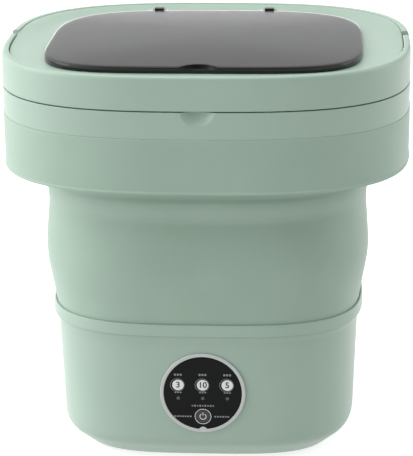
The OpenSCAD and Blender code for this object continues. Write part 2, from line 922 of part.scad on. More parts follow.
module drain_pipe() {
    end_y = spout_y - spout_flange_t - spout_deep;
    color("#dfe3dd")
        difference() {
            union() {
                translate([drain_x, drain_y, 0])
                    post(pipe_z - pipe_r, pan_under_z, pipe_r);
                translate([drain_x, drain_y, pipe_z])
                    rotate([-90, 0, 0])
                        cylinder(r = pipe_r, h = end_y - drain_y);
            }
            translate([drain_x, drain_y, 0])
                post(pipe_z - pipe_in_r, pan_under_z + 1, pipe_in_r);
            translate([drain_x, drain_y, pipe_z])
                rotate([-90, 0, 0])
                    cylinder(r = pipe_in_r, h = end_y - drain_y + 1);
        }
}

module drain_spout() {
    start_y = spout_y - spout_flange_t - spout_deep;
    color("#8ea596")
        translate([drain_x, start_y, pipe_z])
            rotate([-90, 0, 0])
                difference() {
                    union() {
                        cylinder(r = pipe_r, h = spout_y - start_y + spout_out);
                        translate([0, 0, spout_y - start_y])
                            cylinder(r = spout_flange_r, h = spout_flange_t);
                    }
                    translate([0, 0, -eps])
                        cylinder(r = pipe_in_r, h = spout_y - start_y + spout_out + 1);
                }
}

module drain_plug() {
    color("#3c413e")
        translate([drain_x, spout_y + spout_out, pipe_z])
            rotate([-90, 0, 0])
                union() {
                    translate([0, 0, seam])
                        cylinder(r = pipe_r - 2 * press, h = plug_knob_l);
                    translate([0, 0, -plug_l])
                        cylinder(r = plug_r, h = plug_l + seam + eps);
                }
}

// ---- Control panel ----

module panel_ring() {
    color("#c9cecb")
        panel_place()
            difference() {
                union() {
                    post(bezel_back, panel_face, panel_r);
                    post(-board_depth, bezel_back + eps, sleeve_r);
                }
                post(panel_face - lens_t, panel_face + 1, lens_r + press);
                difference() {
                    post(-board_depth - 1, panel_face, sleeve_in_r);
                    at_board_screws()
                        post(-board_depth - 2, -2, boss_screw_r + 2);
                }
                at_board_screws()
                    post(-board_depth - 1, -3, boss_screw_r + slip);
            }
}

module at_board_screws() {
    for (x = [-boss_x, boss_x])
        translate([x, 0, 0])
            children();
}

module panel_lens() {
    color("#161718")
        panel_place()
            difference() {
                post(panel_face - lens_t, panel_face - lens_sunk, lens_r);
                translate([0, -button_drop, 0])
                    post(panel_face - lens_t - 1, panel_face + 1, button_r + lens_gap);
            }
}

module start_button() {
    color("#1d1f20")
        panel_place()
            translate([0, -button_drop, 0]) {
                post(-button_back, panel_face, button_r);
                post(-button_back - stem_l, -button_back, stem_r);
            }
}

module start_switch() {
    switch_top = switch_h - board_depth;
    color("#44484a")
        panel_place()
            translate([0, -button_drop, 0]) {
                translate([-switch_w / 2, -switch_w / 2, -board_depth])
                    cube([switch_w, switch_w, switch_h]);
                post(switch_top - press, -button_back - stem_l - button_travel - press, stem_r - 0.2);
            }
}

module control_board() {
    color("#2f6b45")
        panel_place()
            difference() {
                post(-board_depth - board_t, -board_depth, board_r);
                at_board_screws()
                    post(-board_depth - 2 * board_t, 0, boss_screw_r + 0.2);
            }
}

module board_screws() {
    color("silver")
        panel_place()
            at_board_screws()
                translate([0, 0, -board_depth - board_t])
                    screw(boss_screw_r, 6, 2.2, 1.4);
}

module program_lamps() {
    lamp_h = 4;
    color("#e8ece6")
        panel_place()
            for (x = [-lamp_x, 0, lamp_x])
                translate([x, -lamp_drop, -board_depth]) {
                    cylinder(r = lamp_r, h = lamp_h);
                    translate([0, 0, lamp_h])
                        sphere(r = lamp_r);
                }
}

module power_inlet() {
    color("#26282a")
        translate([inlet_x, inlet_wall_y, inlet_z])
            rotate([-90, 0, 0])
                difference() {
                    union() {
                        post(-inlet_l, pad_out + 1, inlet_r);
                        post(pad_out, pad_out + inlet_flange_t, inlet_r + inlet_flange);
                    }
                    difference() {
                        post(4 - inlet_l, pad_out + 2, inlet_bore_r);
                        post(3 - inlet_l, -1, 1);
                    }
                }
}

// ---- Collar ----

module scallop() {
    depth = scallop_r - sqrt(scallop_r * scallop_r - scallop_w * scallop_w / 4);
    translate([0, -half_d - scallop_r + depth, bow_low_z + 2])
        sphere(r = scallop_r);
}

// A cylinder along X through the handle's pivots, right across the collar.
module across_pivots(r) {
    translate([-half_w - beyond, pivot_y, pivot_z])
        rotate([0, 90, 0])
            cylinder(r = r, h = 2 * (half_w + beyond));
}

// The space that the handle's bow lies in and turns in.
module bow_space(gap) {
    bow_r = bow_h / 2 + gap;
    corner = [-half_w - beyond, -half_d - beyond, pivot_z - bow_r];
    translate(corner)
        cube([2 * (half_w + beyond), half_d + beyond + pivot_y, bow_h + gap + 10]);
    translate([corner[0], pivot_y - 1, pivot_z])
        cube([2 * (half_w + beyond), 1 + bow_r, bow_h]);
    across_pivots(bow_r);
}

module upper_rim() {
    color("#9fb5a6")
        difference() {
            union() {
                plan_ring(half_w, half_d, bow_t + seam + rim_wall_t, square_n, parting_z, lid_z - seam);
                plan_ring(half_w, half_d, bow_t + seam, square_n, parting_z, open_h);
            }
            rim_pocket();
            difference() {
                bow_space(seam);
                plan_block(rim_in_a, rim_in_b, square_n, 0, open_h + beyond);
            }
            scallop();
            across_pivots(pivot_r);
        }
}

// The hollow between the outer and the inner wall, left solid round the pivots and the scallop.
module rim_pocket() {
    difference() {
        plan_ring(half_w - wall, half_d - wall, pocket_t, square_n, parting_z - 1, open_h - 4);
        translate([-half_w, -half_d, bow_low_z - wall])
            cube([collar_w, half_d + pivot_y + bow_h, open_h]);
        translate([-scallop_w, -half_d - 1, parting_z + tongue_h + 1])
            cube([2 * scallop_w, 30, open_h]);
    }
}

module collar_band() {
    color("#9db3a4")
        plan_ring(half_w, half_d, wall, square_n, band_low_z, parting_z - seam);
}

// Stiff ring behind the soft band; its upper edge plugs into the rim.
module band_core() {
    core_t = pocket_t - 2 * press;
    color("#8ea596")
        plan_ring(
            half_w - wall - press, half_d - wall - press, core_t, square_n,
            band_low_z + 1, parting_z + tongue_h
        );
}

module handle_pins() {
    pin_l = rim_wall_t + seam + pivot_depth;
    color("#c9ccd0")
        for (side = [-1, 1])
            translate([side * (rim_in_a - rim_wall_t + 0.4), pivot_y, pivot_z])
                rotate([0, side * 90, 0])
                    cylinder(r = pivot_r, h = pin_l);
}

module carry_handle() {
    color("#a2b8a9")
        difference() {
            intersection() {
                plan_ring(half_w, half_d, bow_t, square_n, bow_low_z + seam, open_h - bow_drop);
                union() {
                    translate([-half_w - beyond, -half_d - beyond, 0])
                        cube([2 * (half_w + beyond), half_d + beyond + pivot_y, open_h]);
                    across_pivots(bow_h / 2);
                }
            }
            for (side = [-1, 1])
                translate([side * (half_w - bow_t - 1), pivot_y, pivot_z])
                    rotate([0, side * 90, 0])
                        cylinder(r = pivot_r + slip, h = 1 + pivot_depth + part_gap);
        }
}

// ---- Lid and window ----

module lid_plate() {
    color("#a7bdae")
        difference() {
            union() {
                plan_block(lid_a, lid_b, square_n, lid_z, lid_z + lid_t);
                plan_ring(skirt_a, skirt_b, skirt_t, square_n, lid_z - lid_skirt, lid_z + eps);
                for (x = [-hinge_x, hinge_x], side = [-1, 1])
                    translate([x + side * (hinge_w / 2 + seam + ear_t / 2), hinge_y, 0])
                        hinge_ear();
            }
            window_place(lid_z - 1)
                linear_extrude(lid_t + 2)
                    polygon(plan(window_a - sill, window_b - sill, window_n_rear, window_n_front));
            along_hinges(hinge_pin_r, 20);
        }
}

// A cylinder on the hinges' axis that reaches past both hinges.
module along_hinges(r, past) {
    translate([-hinge_x - past, hinge_y, hinge_z])
        rotate([0, 90, 0])
            cylinder(r = r, h = 2 * (hinge_x + past));
}

module hinge_ear() {
    translate([-ear_t / 2, 0, hinge_z])
        rotate([0, 90, 0])
            cylinder(r = knuckle_r, h = ear_t);
    translate([-ear_t / 2, -knuckle_r, lid_z + lid_t - 1])
        cube([ear_t, 2 * knuckle_r, hinge_z - lid_z - lid_t + 1]);
}

module lid_gasket() {
    gasket_low_z = lid_z - lid_skirt + 2;
    color("#3d423f")
        plan_ring(
            rim_in_a - rim_wall_t - seam, rim_in_b - rim_wall_t - seam, 1.2, square_n,
            gasket_low_z, gasket_low_z + gasket_h
        );
}

module hinge_pins() {
    pin_l = hinge_w + 2 * seam + 2 * ear_t;
    color("#c9ccd0")
        for (x = [-hinge_x, hinge_x])
            translate([x - pin_l / 2, hinge_y, hinge_z])
                rotate([0, 90, 0])
                    cylinder(r = hinge_pin_r, h = pin_l);
}

module window_flap() {
    color("#4c5052")
        difference() {
            window_place(window_z)
                linear_extrude(window_h)
                    polygon(plan(window_a, window_b, window_n_rear, window_n_front));
            window_place(window_z - 1)
                linear_extrude(window_h - window_t + 1)
                    polygon(plan(window_a - window_t, window_b - window_t, window_n_rear, window_n_front));
            translate([0, window_y - window_b - notch_r + notch_deep, window_z - 1])
                cylinder(r = notch_r, h = window_h + 2);
        }
}

module window_hinges() {
    arm_t = 1.4;
    rear_y = window_y + window_b;
    color("#1c1d1e")
        difference() {
            for (x = [-hinge_x, hinge_x])
                translate([x - hinge_w / 2, 0, hinge_z]) {
                    translate([0, hinge_y, 0])
                        rotate([0, 90, 0])
                            cylinder(r = knuckle_r, h = hinge_w);
                    translate([0, rear_y - 0.2, -arm_t])
                        cube([hinge_w, hinge_y - rear_y + 0.2, arm_t + knuckle_r]);
                }
            along_hinges(hinge_pin_r + slip, hinge_w);
            window_place(window_z - 1)
                linear_extrude(window_h + 2)
                    polygon(plan(window_a, window_b, window_n_rear, window_n_front));
        }
}

base_shell();
bottom_cover();
feet();
cover_screws();
tub_pan();
wall_gasket();
clamp_ring();
folding_wall();
motor_bracket();
bracket_screws();
motor_can();
motor_end_cap();
motor_magnets();
motor_screws();
bearing_housing();
upper_bearing();
lower_bearing();
shaft_seal();
drain_grate();
drain_pipe();
drain_spout();
control_board();
board_screws();
program_lamps();
start_switch();
panel_ring();
panel_lens();
power_inlet();
upper_rim();
collar_band();
band_core();
handle_pins();
carry_handle();
lid_plate();
lid_gasket();
hinge_pins();
window_flap();
window_hinges();
pulsator();
drain_basket();
basket_nut();
pulsator_shaft();
drive_gear();
motor_shaft();
rotor_core();
pinion();
start_button();
drain_plug();
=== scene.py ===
"""Looks of a folding portable mini washer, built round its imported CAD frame.

The washer stands open: a tapered base with a round control panel, a soft folding wall, a wide
collar with a swing-up carry handle, and a lid with a smoked flap. Sizes are millimetres in this
file and become metres where a mesh is made. +Z is up and -Y is the side with the panel.
"""

import logging
import math
from dataclasses import dataclass, field
from enum import Enum

import bpy
import numpy as np
from mathutils import Matrix, Quaternion, Vector


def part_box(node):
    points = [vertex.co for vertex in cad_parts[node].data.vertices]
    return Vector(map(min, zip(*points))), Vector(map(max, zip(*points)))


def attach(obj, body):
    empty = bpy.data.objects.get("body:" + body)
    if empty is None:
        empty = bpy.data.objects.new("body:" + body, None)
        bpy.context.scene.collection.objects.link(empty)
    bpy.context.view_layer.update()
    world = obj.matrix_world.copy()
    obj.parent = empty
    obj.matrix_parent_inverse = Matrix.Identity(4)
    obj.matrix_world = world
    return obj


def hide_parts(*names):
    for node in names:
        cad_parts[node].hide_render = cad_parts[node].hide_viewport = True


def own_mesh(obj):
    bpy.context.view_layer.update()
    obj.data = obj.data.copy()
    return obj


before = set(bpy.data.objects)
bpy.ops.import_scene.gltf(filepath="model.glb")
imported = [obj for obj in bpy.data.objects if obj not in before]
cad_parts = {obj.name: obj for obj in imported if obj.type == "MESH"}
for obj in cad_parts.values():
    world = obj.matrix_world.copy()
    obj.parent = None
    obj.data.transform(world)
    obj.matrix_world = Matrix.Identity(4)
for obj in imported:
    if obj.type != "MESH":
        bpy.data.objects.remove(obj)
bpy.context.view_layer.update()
LOG = logging.getLogger("washer")
MM = 0.001
NO_CAPS = np.empty((0, 3), int)


# ---------------------------------------------------------------- numbers and meshes


def cad_box(node: str) -> tuple[np.ndarray, np.ndarray]:
    """The lowest and highest corner of a CAD node, in millimetres."""
    low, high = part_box(node)
    return np.array(low) / MM, np.array(high) / MM


def ring(a: np.ndarray, b: np.ndarray, n: np.ndarray, angle: np.ndarray) -> np.ndarray:
    """Points of the superellipse |x/a|^n + |y/b|^n = 1 at polar angles.

    The radius at an angle t is (|cos t / a|^n + |sin t / b|^n) to the power -1/n.

    Args:
        a: Half width, broadcast against angle.
        b: Half depth, broadcast against angle.
        n: Squareness, 2 for an ellipse and more for a squarer plan.
        angle: Polar angles in radians.

    Returns:
        An array with a last axis of x and y.
    """
    c, s = np.cos(angle), np.sin(angle)
    radius = (np.abs(c / a) ** n + np.abs(s / b) ** n) ** (-1.0 / n)
    return np.stack(np.broadcast_arrays(radius * c, radius * s), axis=-1)


def column(*corners: tuple[float, ...]) -> np.ndarray:
    """Profile corners, each with the same number of values, as one column."""
    return np.array(corners, float)[:, None, :]


def rounded(corners: np.ndarray, radii: np.ndarray | list[float], steps: int) -> np.ndarray:
    """Rounds the corners of a closed profile with short curves.

    Each corner C turns into the curve (1-t)^2 A + 2t(1-t) C + t^2 B, where A and B lie on its two
    sides at the corner's radius, or at most 45% of the side away.

    Args:
        corners: (corners, columns, values); the first and last value set the lengths.
        radii: Setback of each corner in millimetres, or (corners, columns) setbacks.
        steps: Points that each corner turns into.

    Returns:
        (corners * steps, columns, values).
    """
    setback = np.reshape(radii, (len(corners), -1))
    before, after = np.roll(corners, 1, axis=0), np.roll(corners, -1, axis=0)
    t = np.linspace(0.0, 1.0, steps)[None, :, None, None]

    def side(other: np.ndarray) -> np.ndarray:
        """Where the curve starts or ends on the way to a neighbouring corner.

        Args:
            other: The neighbouring corners.

        Returns:
            (corners, 1, columns, values).
        """
        gap = other - corners
        length = np.hypot(gap[..., 0], gap[..., -1]) + 1e-9
        share = np.minimum(setback / length, 0.45)
        return (corners + gap * share[..., None])[:, None]

    start, end, middle = side(before), side(after), corners[:, None]
    curve = (1 - t) ** 2 * start + 2 * t * (1 - t) * middle + t**2 * end
    return curve.reshape(-1, *corners.shape[1:])


def spread(profile: np.ndarray, longest: float) -> np.ndarray:
    """Adds evenly spaced rows wherever two rows of a closed profile lie far apart.

    Args:
        profile: (rows, columns, values); the first and last value set the lengths.
        longest: The longest step wanted, in millimetres.

    Returns:
        The profile with more rows.
    """
    after = np.roll(profile, -1, axis=0)
    gap = after - profile
    length = np.hypot(gap[..., 0], gap[..., -1]).max(axis=1)
    counts = np.maximum(1, np.ceil(length / longest)).astype(int)
    row = np.repeat(np.arange(len(profile)), counts)
    first = np.repeat(np.cumsum(counts) - counts, counts)
    share = (np.arange(len(row)) - first) / np.repeat(counts, counts)
    return profile[row] + gap[row] * share[:, None, None]


def smooth_curve(keys: np.ndarray, count: int) -> np.ndarray:
    """A Catmull-Rom curve through key rows, evenly stepped between them.

    Args:
        keys: (keys, values).
        count: Steps between two keys.

    Returns:
        ((keys - 1) * count + 1, values).
    """
    padded = np.concatenate([2 * keys[:1] - keys[1:2], keys, 2 * keys[-1:] - keys[-2:-1]])
    p0, p1, p2, p3 = padded[:-3], padded[1:-2], padded[2:-1], padded[3:]
    t = (np.arange(count) / count)[None, :, None]
    p0, p1, p2, p3 = p0[:, None], p1[:, None], p2[:, None], p3[:, None]
    curve = 0.5 * (
        2 * p1 + (p2 - p0) * t + (2 * p0 - 5 * p1 + 4 * p2 - p3) * t**2
        + (3 * p1 - p0 - 3 * p2 + p3) * t**3
    )
    return np.concatenate([curve.reshape(-1, keys.shape[1]), keys[-1:]])


def pairs(like: np.ndarray, *corners: tuple) -> np.ndarray:
    """Profile corners of two values, each a number or an array like the first argument."""
    return np.stack([np.stack(np.broadcast_arrays(*c, like)[:2], axis=-1) for c in corners])


def merged(*runs: np.ndarray) -> np.ndarray:
    """Polar angles of several runs in order, each once."""
    return np.unique(np.round(np.concatenate(runs), 6))


def eased(share: np.ndarray) -> np.ndarray:
    """A share of 0 to 1 with a smooth start and end, 3 s^2 - 2 s^3."""
    return share**2 * (3 - 2 * share)


def circle(columns: int) -> np.ndarray:
    """Evenly spaced polar angles round a full turn."""
    return np.linspace(0, 2 * np.pi, columns, endpoint=False)


def lifted(xy: np.ndarray, z: np.ndarray) -> np.ndarray:
    """Plan points (rows, columns, 2) with heights that broadcast to (rows, columns)."""
    return np.concatenate([xy, np.broadcast_to(z, xy.shape[:2])[..., None]], axis=-1)


def loft(profile: np.ndarray, angle: np.ndarray) -> np.ndarray:
    """Carries a profile of (half width, half depth, squareness, height) round the plan.

    Args:
        profile: (rows, columns or 1, 4).
        angle: (columns,) polar angles.

    Returns:
        (rows, columns, 3) points.
    """
    a, b, n, z = (profile[..., k] for k in range(4))
    return lifted(ring(a, b, n, angle[None, :]), z)


def revolve(radius: np.ndarray, height: np.ndarray, angle: np.ndarray) -> np.ndarray:
    """Points at radii (rows, columns or 1) and heights (rows, 1) round the Z axis."""
    x, y = radius * np.cos(angle), radius * np.sin(angle)
    return np.stack(np.broadcast_arrays(x, y, height), axis=-1)


def moved(points: np.ndarray, place: Matrix) -> np.ndarray:
    """Points after a placement whose translation is in millimetres."""
    m = np.array(place)
    return points @ m[:3, :3].T + m[:3, 3]


def grid_faces(rows: int, columns: int, close_rows: bool) -> np.ndarray:
    """Quads of a grid of points stored row by row, each row closed on itself.

    Args:
        rows: Number of rows.
        columns: Number of columns.
        close_rows: Whether the last row joins the first.

    Returns:
        (quads, 4) indices.
    """
    i = np.arange(rows if close_rows else rows - 1)[:, None]
    j = np.arange(columns)[None, :]
    i2, j2 = (i + 1) % rows, (j + 1) % columns
    corners = (i * columns + j, i * columns + j2, i2 * columns + j2, i2 * columns + j)
    return np.stack(np.broadcast_arrays(*corners), axis=-1).reshape(-1, 4)


def signed_volume(points: np.ndarray, quads: np.ndarray) -> float:
    """Six times a closed mesh's volume, negative if its faces point inwards.

    Args:
        points: (points, 3).
        quads: (quads, 4) indices.

    Returns:
        The sum over the triangles of first . (second x third).
    """
    p = points[quads]
    first = np.einsum("ij,ij->i", p[:, 0], np.cross(p[:, 1], p[:, 2])).sum()
    return float(first + np.einsum("ij,ij->i", p[:, 0], np.cross(p[:, 2], p[:, 3])).sum())


def add_object(name: str, data: bpy.types.ID) -> bpy.types.Object:
    """Makes an object at the origin and links it to the scene.

    Args:
        name: The object's name.
        data: Its mesh, curve, light or camera.

    Returns:
        The new object.
    """
    made = bpy.data.objects.new(name, data)
    bpy.context.scene.collection.objects.link(made)
    return made


def link_mesh(name: str, points: np.ndarray, faces: list) -> bpy.types.Object:
    """Makes a flat-shaded object.

    Args:
        name: The object's name.
        points: (points, 3) in millimetres.
        faces: Indices of each face.

    Returns:
        The new object.
    """
    mesh = bpy.data.meshes.new(name)
    mesh.from_pydata((points * MM).tolist(), [], faces)
    return add_object(name, mesh)


def make_mesh(
    name: str, points: np.ndarray, quads: np.ndarray, sharp_deg: float, caps: np.ndarray = NO_CAPS
) -> bpy.types.Object:
    """Makes a smooth piece, its faces turned outwards.

    Args:
        name: The piece's name.
        points: (points, 3) in millimetres.
        quads: (quads, 4) indices.
        sharp_deg: Edges that turn more than this stay crisp.
        caps: (triangles, 3) indices that close the ends.

    Returns:
        The new object.
    """
    if signed_volume(points, quads) < 0:
        quads, caps = quads[:, ::-1], caps[:, ::-1]
    piece = link_mesh(name, points, quads.tolist() + caps.tolist())
    piece.data.validate()
    piece.data.shade_smooth()
    piece.data.set_sharp_from_angle(angle=math.radians(sharp_deg))
    return piece


def tube_mesh(name: str, grid: np.ndarray, sharp_deg: float = 40.0) -> bpy.types.Object:
    """Makes a ring-shaped piece from a grid closed both ways."""
    return make_mesh(name, grid.reshape(-1, 3), grid_faces(*grid.shape[:2], True), sharp_deg)


def capped_mesh(name: str, grid: np.ndarray, sharp_deg: float = 40.0) -> bpy.types.Object:
    """Makes a round piece whose first and last row each close on one point.

    Args:
        name: The piece's name.
        grid: (rows, columns, 3); the ends are closed on the middle of their rows.
        sharp_deg: Edges that turn more than this stay crisp.

    Returns:
        The new object.
    """
    rows, columns = grid.shape[:2]
    points = np.concatenate([grid.reshape(-1, 3), grid[:1].mean(axis=1), grid[-1:].mean(axis=1)])
    j = np.arange(columns)
    after = (j + 1) % columns
    end = np.full(columns, rows * columns)
    top = (rows - 1) * columns
    first, last = np.stack([end, after, j], 1), np.stack([end + 1, top + j, top + after], 1)
    quads = grid_faces(rows, columns, False)
    return make_mesh(name, points, quads, sharp_deg, np.concatenate([first, last]))


def turned(
    name: str, profile: list[tuple[float, float]], radii: list[float], place: Matrix,
    columns: int = 96, steps: int = 4,
) -> bpy.types.Object:
    """A turned piece: a closed profile of (radius, height) carried round its own axis.

    Args:
        name: The piece's name.
        profile: Corners of the closed profile, in millimetres.
        radii: Rounding of each corner.
        place: Where the piece's axis lies, translation in millimetres.
        columns: Steps round the axis.
        steps: Points of each rounded corner.

    Returns:
        The new object, its place in its mesh.
    """
    outline = rounded(column(*profile), radii, steps)[:, 0]
    grid = revolve(outline[:, :1], outline[:, 1:], circle(columns))
    return tube_mesh(name, moved(grid, place), 30.0)


def cut(piece: bpy.types.Object, cutters: list[bpy.types.Object]) -> None:
    """Cuts closed shapes out of a piece and removes the shapes.

    Args:
        piece: The piece that is cut.
        cutters: Closed objects that overlap it.
    """
    for cutter in cutters:
        boolean = piece.modifiers.new("cut", "BOOLEAN")
        boolean.operation = "DIFFERENCE"
        boolean.solver = "EXACT"
        boolean.object = cutter
    graph = bpy.context.evaluated_depsgraph_get()
    result = bpy.data.meshes.new_from_object(piece.evaluated_get(graph))
    piece.modifiers.clear()
    piece.data = result
    piece.data.set_sharp_from_angle(angle=math.radians(40))
    for cutter in cutters:
        bpy.data.objects.remove(cutter)


def rod(name: str, radius: float, low: float, high: float, place: Matrix) -> bpy.types.Object:
    """A plain closed cylinder along the placement's Z axis, used to cut holes."""
    grid = revolve(radius, np.array([[low], [high]]), circle(96))
    return capped_mesh(name, moved(grid, place))


# ---------------------------------------------------------------- materials


def hex_linear(code: str) -> tuple[float, float, float, float]:
    """An sRGB hex colour as a linear colour with alpha 1.

    Args:
        code: Six hex digits.

    Returns:
        Red, green, blue and alpha.
    """
    values = [int(code[k:k + 2], 16) / 255 for k in (0, 2, 4)]
    linear = [v / 12.92 if v <= 0.04045 else ((v + 0.055) / 1.055) ** 2.4 for v in values]
    return (linear[0], linear[1], linear[2], 1.0)


def add_node(
    tree: bpy.types.NodeTree, kind: str, inputs: dict, **settings: object
) -> bpy.types.Node:
    """Adds a node with its settings and its links.

    Args:
        tree: The node tree.
        kind: The node's type name.
        inputs: Input name or index to a value, or to a socket that is linked to it.
        **settings: The node's own properties.

    Returns:
        The new node.
    """
    node = tree.nodes.new(kind)
    for key, value in settings.items():
        setattr(node, key, value)
    for key, value in inputs.items():
        if isinstance(value, bpy.types.NodeSocket):
            tree.links.new(value, node.inputs[key])
        else:
            node.inputs[key].default_value = value
    return node


def new_material(name: str) -> tuple[bpy.types.Material, bpy.types.NodeTree, bpy.types.NodeSocket]:
    """A material with an empty tree.

    Args:
        name: The material's name.

    Returns:
        The material, its tree, and the object-coordinate socket that patterns read.
    """
    material = bpy.data.materials.new(name)
    material.use_nodes = True
    tree = material.node_tree
    tree.nodes.clear()
    coordinates = add_node(tree, "ShaderNodeTexCoord", {})
    return material, tree, coordinates.outputs["Object"]


def noise(
    tree: bpy.types.NodeTree, where: bpy.types.NodeSocket, size_mm: float, detail: float,
    stretch: tuple[float, float, float] | None = None, **inputs: float,
) -> bpy.types.NodeSocket:
    """A noise pattern.

    Args:
        tree: The node tree.
        where: The coordinates that it reads.
        size_mm: Size of its features.
        detail: Its levels of detail.
        stretch: Scale of each axis before the pattern is read.
        **inputs: Further inputs of the noise.

    Returns:
        The pattern's value, 0 to 1.
    """
    if stretch:
        where = add_node(tree, "ShaderNodeMapping", {"Vector": where, "Scale": stretch}).outputs[0]
    return add_node(tree, "ShaderNodeTexNoise", {
        "Vector": where, "Scale": 1 / (size_mm * MM), "Detail": detail, **inputs}).outputs["Fac"]


def mapped(
    tree: bpy.types.NodeTree, value: bpy.types.NodeSocket,
    source: tuple[float, float], target: tuple[float, float], kind: str = "LINEAR",
) -> bpy.types.NodeSocket:
    """A value carried from a source range to a target range and held at its ends."""
    return add_node(tree, "ShaderNodeMapRange", {
        "Value": value, "From Min": source[0], "From Max": source[1],
        "To Min": target[0], "To Max": target[1]}, interpolation_type=kind).outputs["Result"]


def bump(
    tree: bpy.types.NodeTree, height: bpy.types.NodeSocket, deep_mm: float, **inputs: object
) -> bpy.types.NodeSocket:
    """A normal bumped by a height pattern, a relief so many millimetres deep."""
    return add_node(tree, "ShaderNodeBump", {
        "Height": height, "Distance": deep_mm * MM, "Strength": 1.0, **inputs}).outputs["Normal"]


def surface(tree: bpy.types.NodeTree, inputs: dict) -> None:
    """Ends a material's tree with a principled shader that has these inputs."""
    shader = add_node(tree, "ShaderNodeBsdfPrincipled", inputs)
    add_node(tree, "ShaderNodeOutputMaterial", {"Surface": shader.outputs["BSDF"]})


@dataclass(frozen=True)
class Plastic:
    """A moulded plastic or rubber: fine mould grain, faint clouding, uneven gloss.

    Attributes:
        name: Material name.
        colour: Main colour, sRGB hex.
        shade: Colour of the darker clouds, sRGB hex.
        roughness: Middle roughness.
        uneven: How far the roughness strays from it.
        grain_mm: Size of the mould grain.
        grain_deep_mm: Depth of the mould grain.
        wave_mm: Size of the broad unevenness of the surface.
        wave_deep_mm: Depth of the broad unevenness.
        sheen: Share of soft edge glow, as on rubber.
        specular: Level of the plain reflection.
    """

    name: str
    colour: str
    shade: str
    roughness: float = 0.42
    uneven: float = 0.06
    grain_mm: float = 0.7
    grain_deep_mm: float = 0.010
    wave_mm: float = 45.0
    wave_deep_mm: float = 0.0
    sheen: float = 0.0
    specular: float = 0.5

    def material(self) -> bpy.types.Material:
        """Builds the material.

        Returns:
            The material; the colour mixes by broad noise, the bump adds grain to waves.
        """
        material, tree, where = new_material(self.name)
        cloud = noise(tree, where, self.wave_mm, 3.0, Roughness=0.55)
        grain = noise(tree, where, self.grain_mm, 2.0, Roughness=0.6)
        colour = add_node(tree, "ShaderNodeMix", {
            "Factor": cloud, "A": hex_linear(self.colour), "B": hex_linear(self.shade)},
            data_type="RGBA")
        gloss = (self.roughness - self.uneven, self.roughness + self.uneven)
        rough = mapped(tree, grain, (0.3, 0.7), gloss)
        normal = bump(tree, grain, self.grain_deep_mm)
        if self.wave_deep_mm:
            normal = bump(tree, cloud, self.wave_deep_mm, Normal=normal)
        surface(tree, {
            "Base Color": colour.outputs["Result"], "Roughness": rough, "Normal": normal,
            "Sheen Weight": self.sheen, "Sheen Roughness": 0.5,
            "Specular IOR Level": self.specular})
        return material


@dataclass(frozen=True)
class ClearPlastic:
    """A polished dark plastic sheet: dark body, soft reflection, faint wear in the gloss.

    Attributes:
        name: Material name.
        colour: Body colour, sRGB hex.
        roughness: Roughness of the polish.
        ior: Index of refraction.
        specular: Level of the plain reflection.
        wear_mm: Spacing of the faint wear pattern in the gloss.
    """

    name: str
    colour: str
    roughness: float
    ior: float = 1.49
    specular: float = 0.5
    wear_mm: float = 3.0

    def material(self) -> bpy.types.Material:
        """Builds the material.

        Returns:
            The material; noise stretched along X varies the gloss like wiping marks.
        """
        material, tree, where = new_material(self.name)
        wear = noise(tree, where, self.wear_mm, 4.0, stretch=(0.15, 1.0, 1.0))
        rough = mapped(tree, wear, (0.35, 0.75), (self.roughness, self.roughness * 1.06))
        surface(tree, {
            "Base Color": hex_linear(self.colour), "Roughness": rough, "IOR": self.ior,
            "Specular IOR Level": self.specular})
        return material


@dataclass(frozen=True)
class Metal:
    """A bright or sintered metal with fine turning marks.

    Attributes:
        name: Material name.
        colour: Reflection colour, sRGB hex.
        roughness: Middle roughness.
        mark_mm: Spacing of the machining marks.
    """

    name: str
    colour: str
    roughness: float = 0.3
    mark_mm: float = 0.5

    def material(self) -> bpy.types.Material:
        """Builds the material.

        Returns:
            The material; noise squeezed along Z makes the marks, in the gloss and the relief.
        """
        material, tree, where = new_material(self.name)
        marks = noise(tree, where, self.mark_mm, 3.0, stretch=(1.0, 1.0, 6.0))
        gloss = (self.roughness * 0.7, self.roughness * 1.4)
        surface(tree, {
            "Base Color": hex_linear(self.colour), "Metallic": 1.0,
            "Roughness": mapped(tree, marks, (0.0, 1.0), gloss),
            "Normal": bump(tree, marks, 0.004)})
        return material


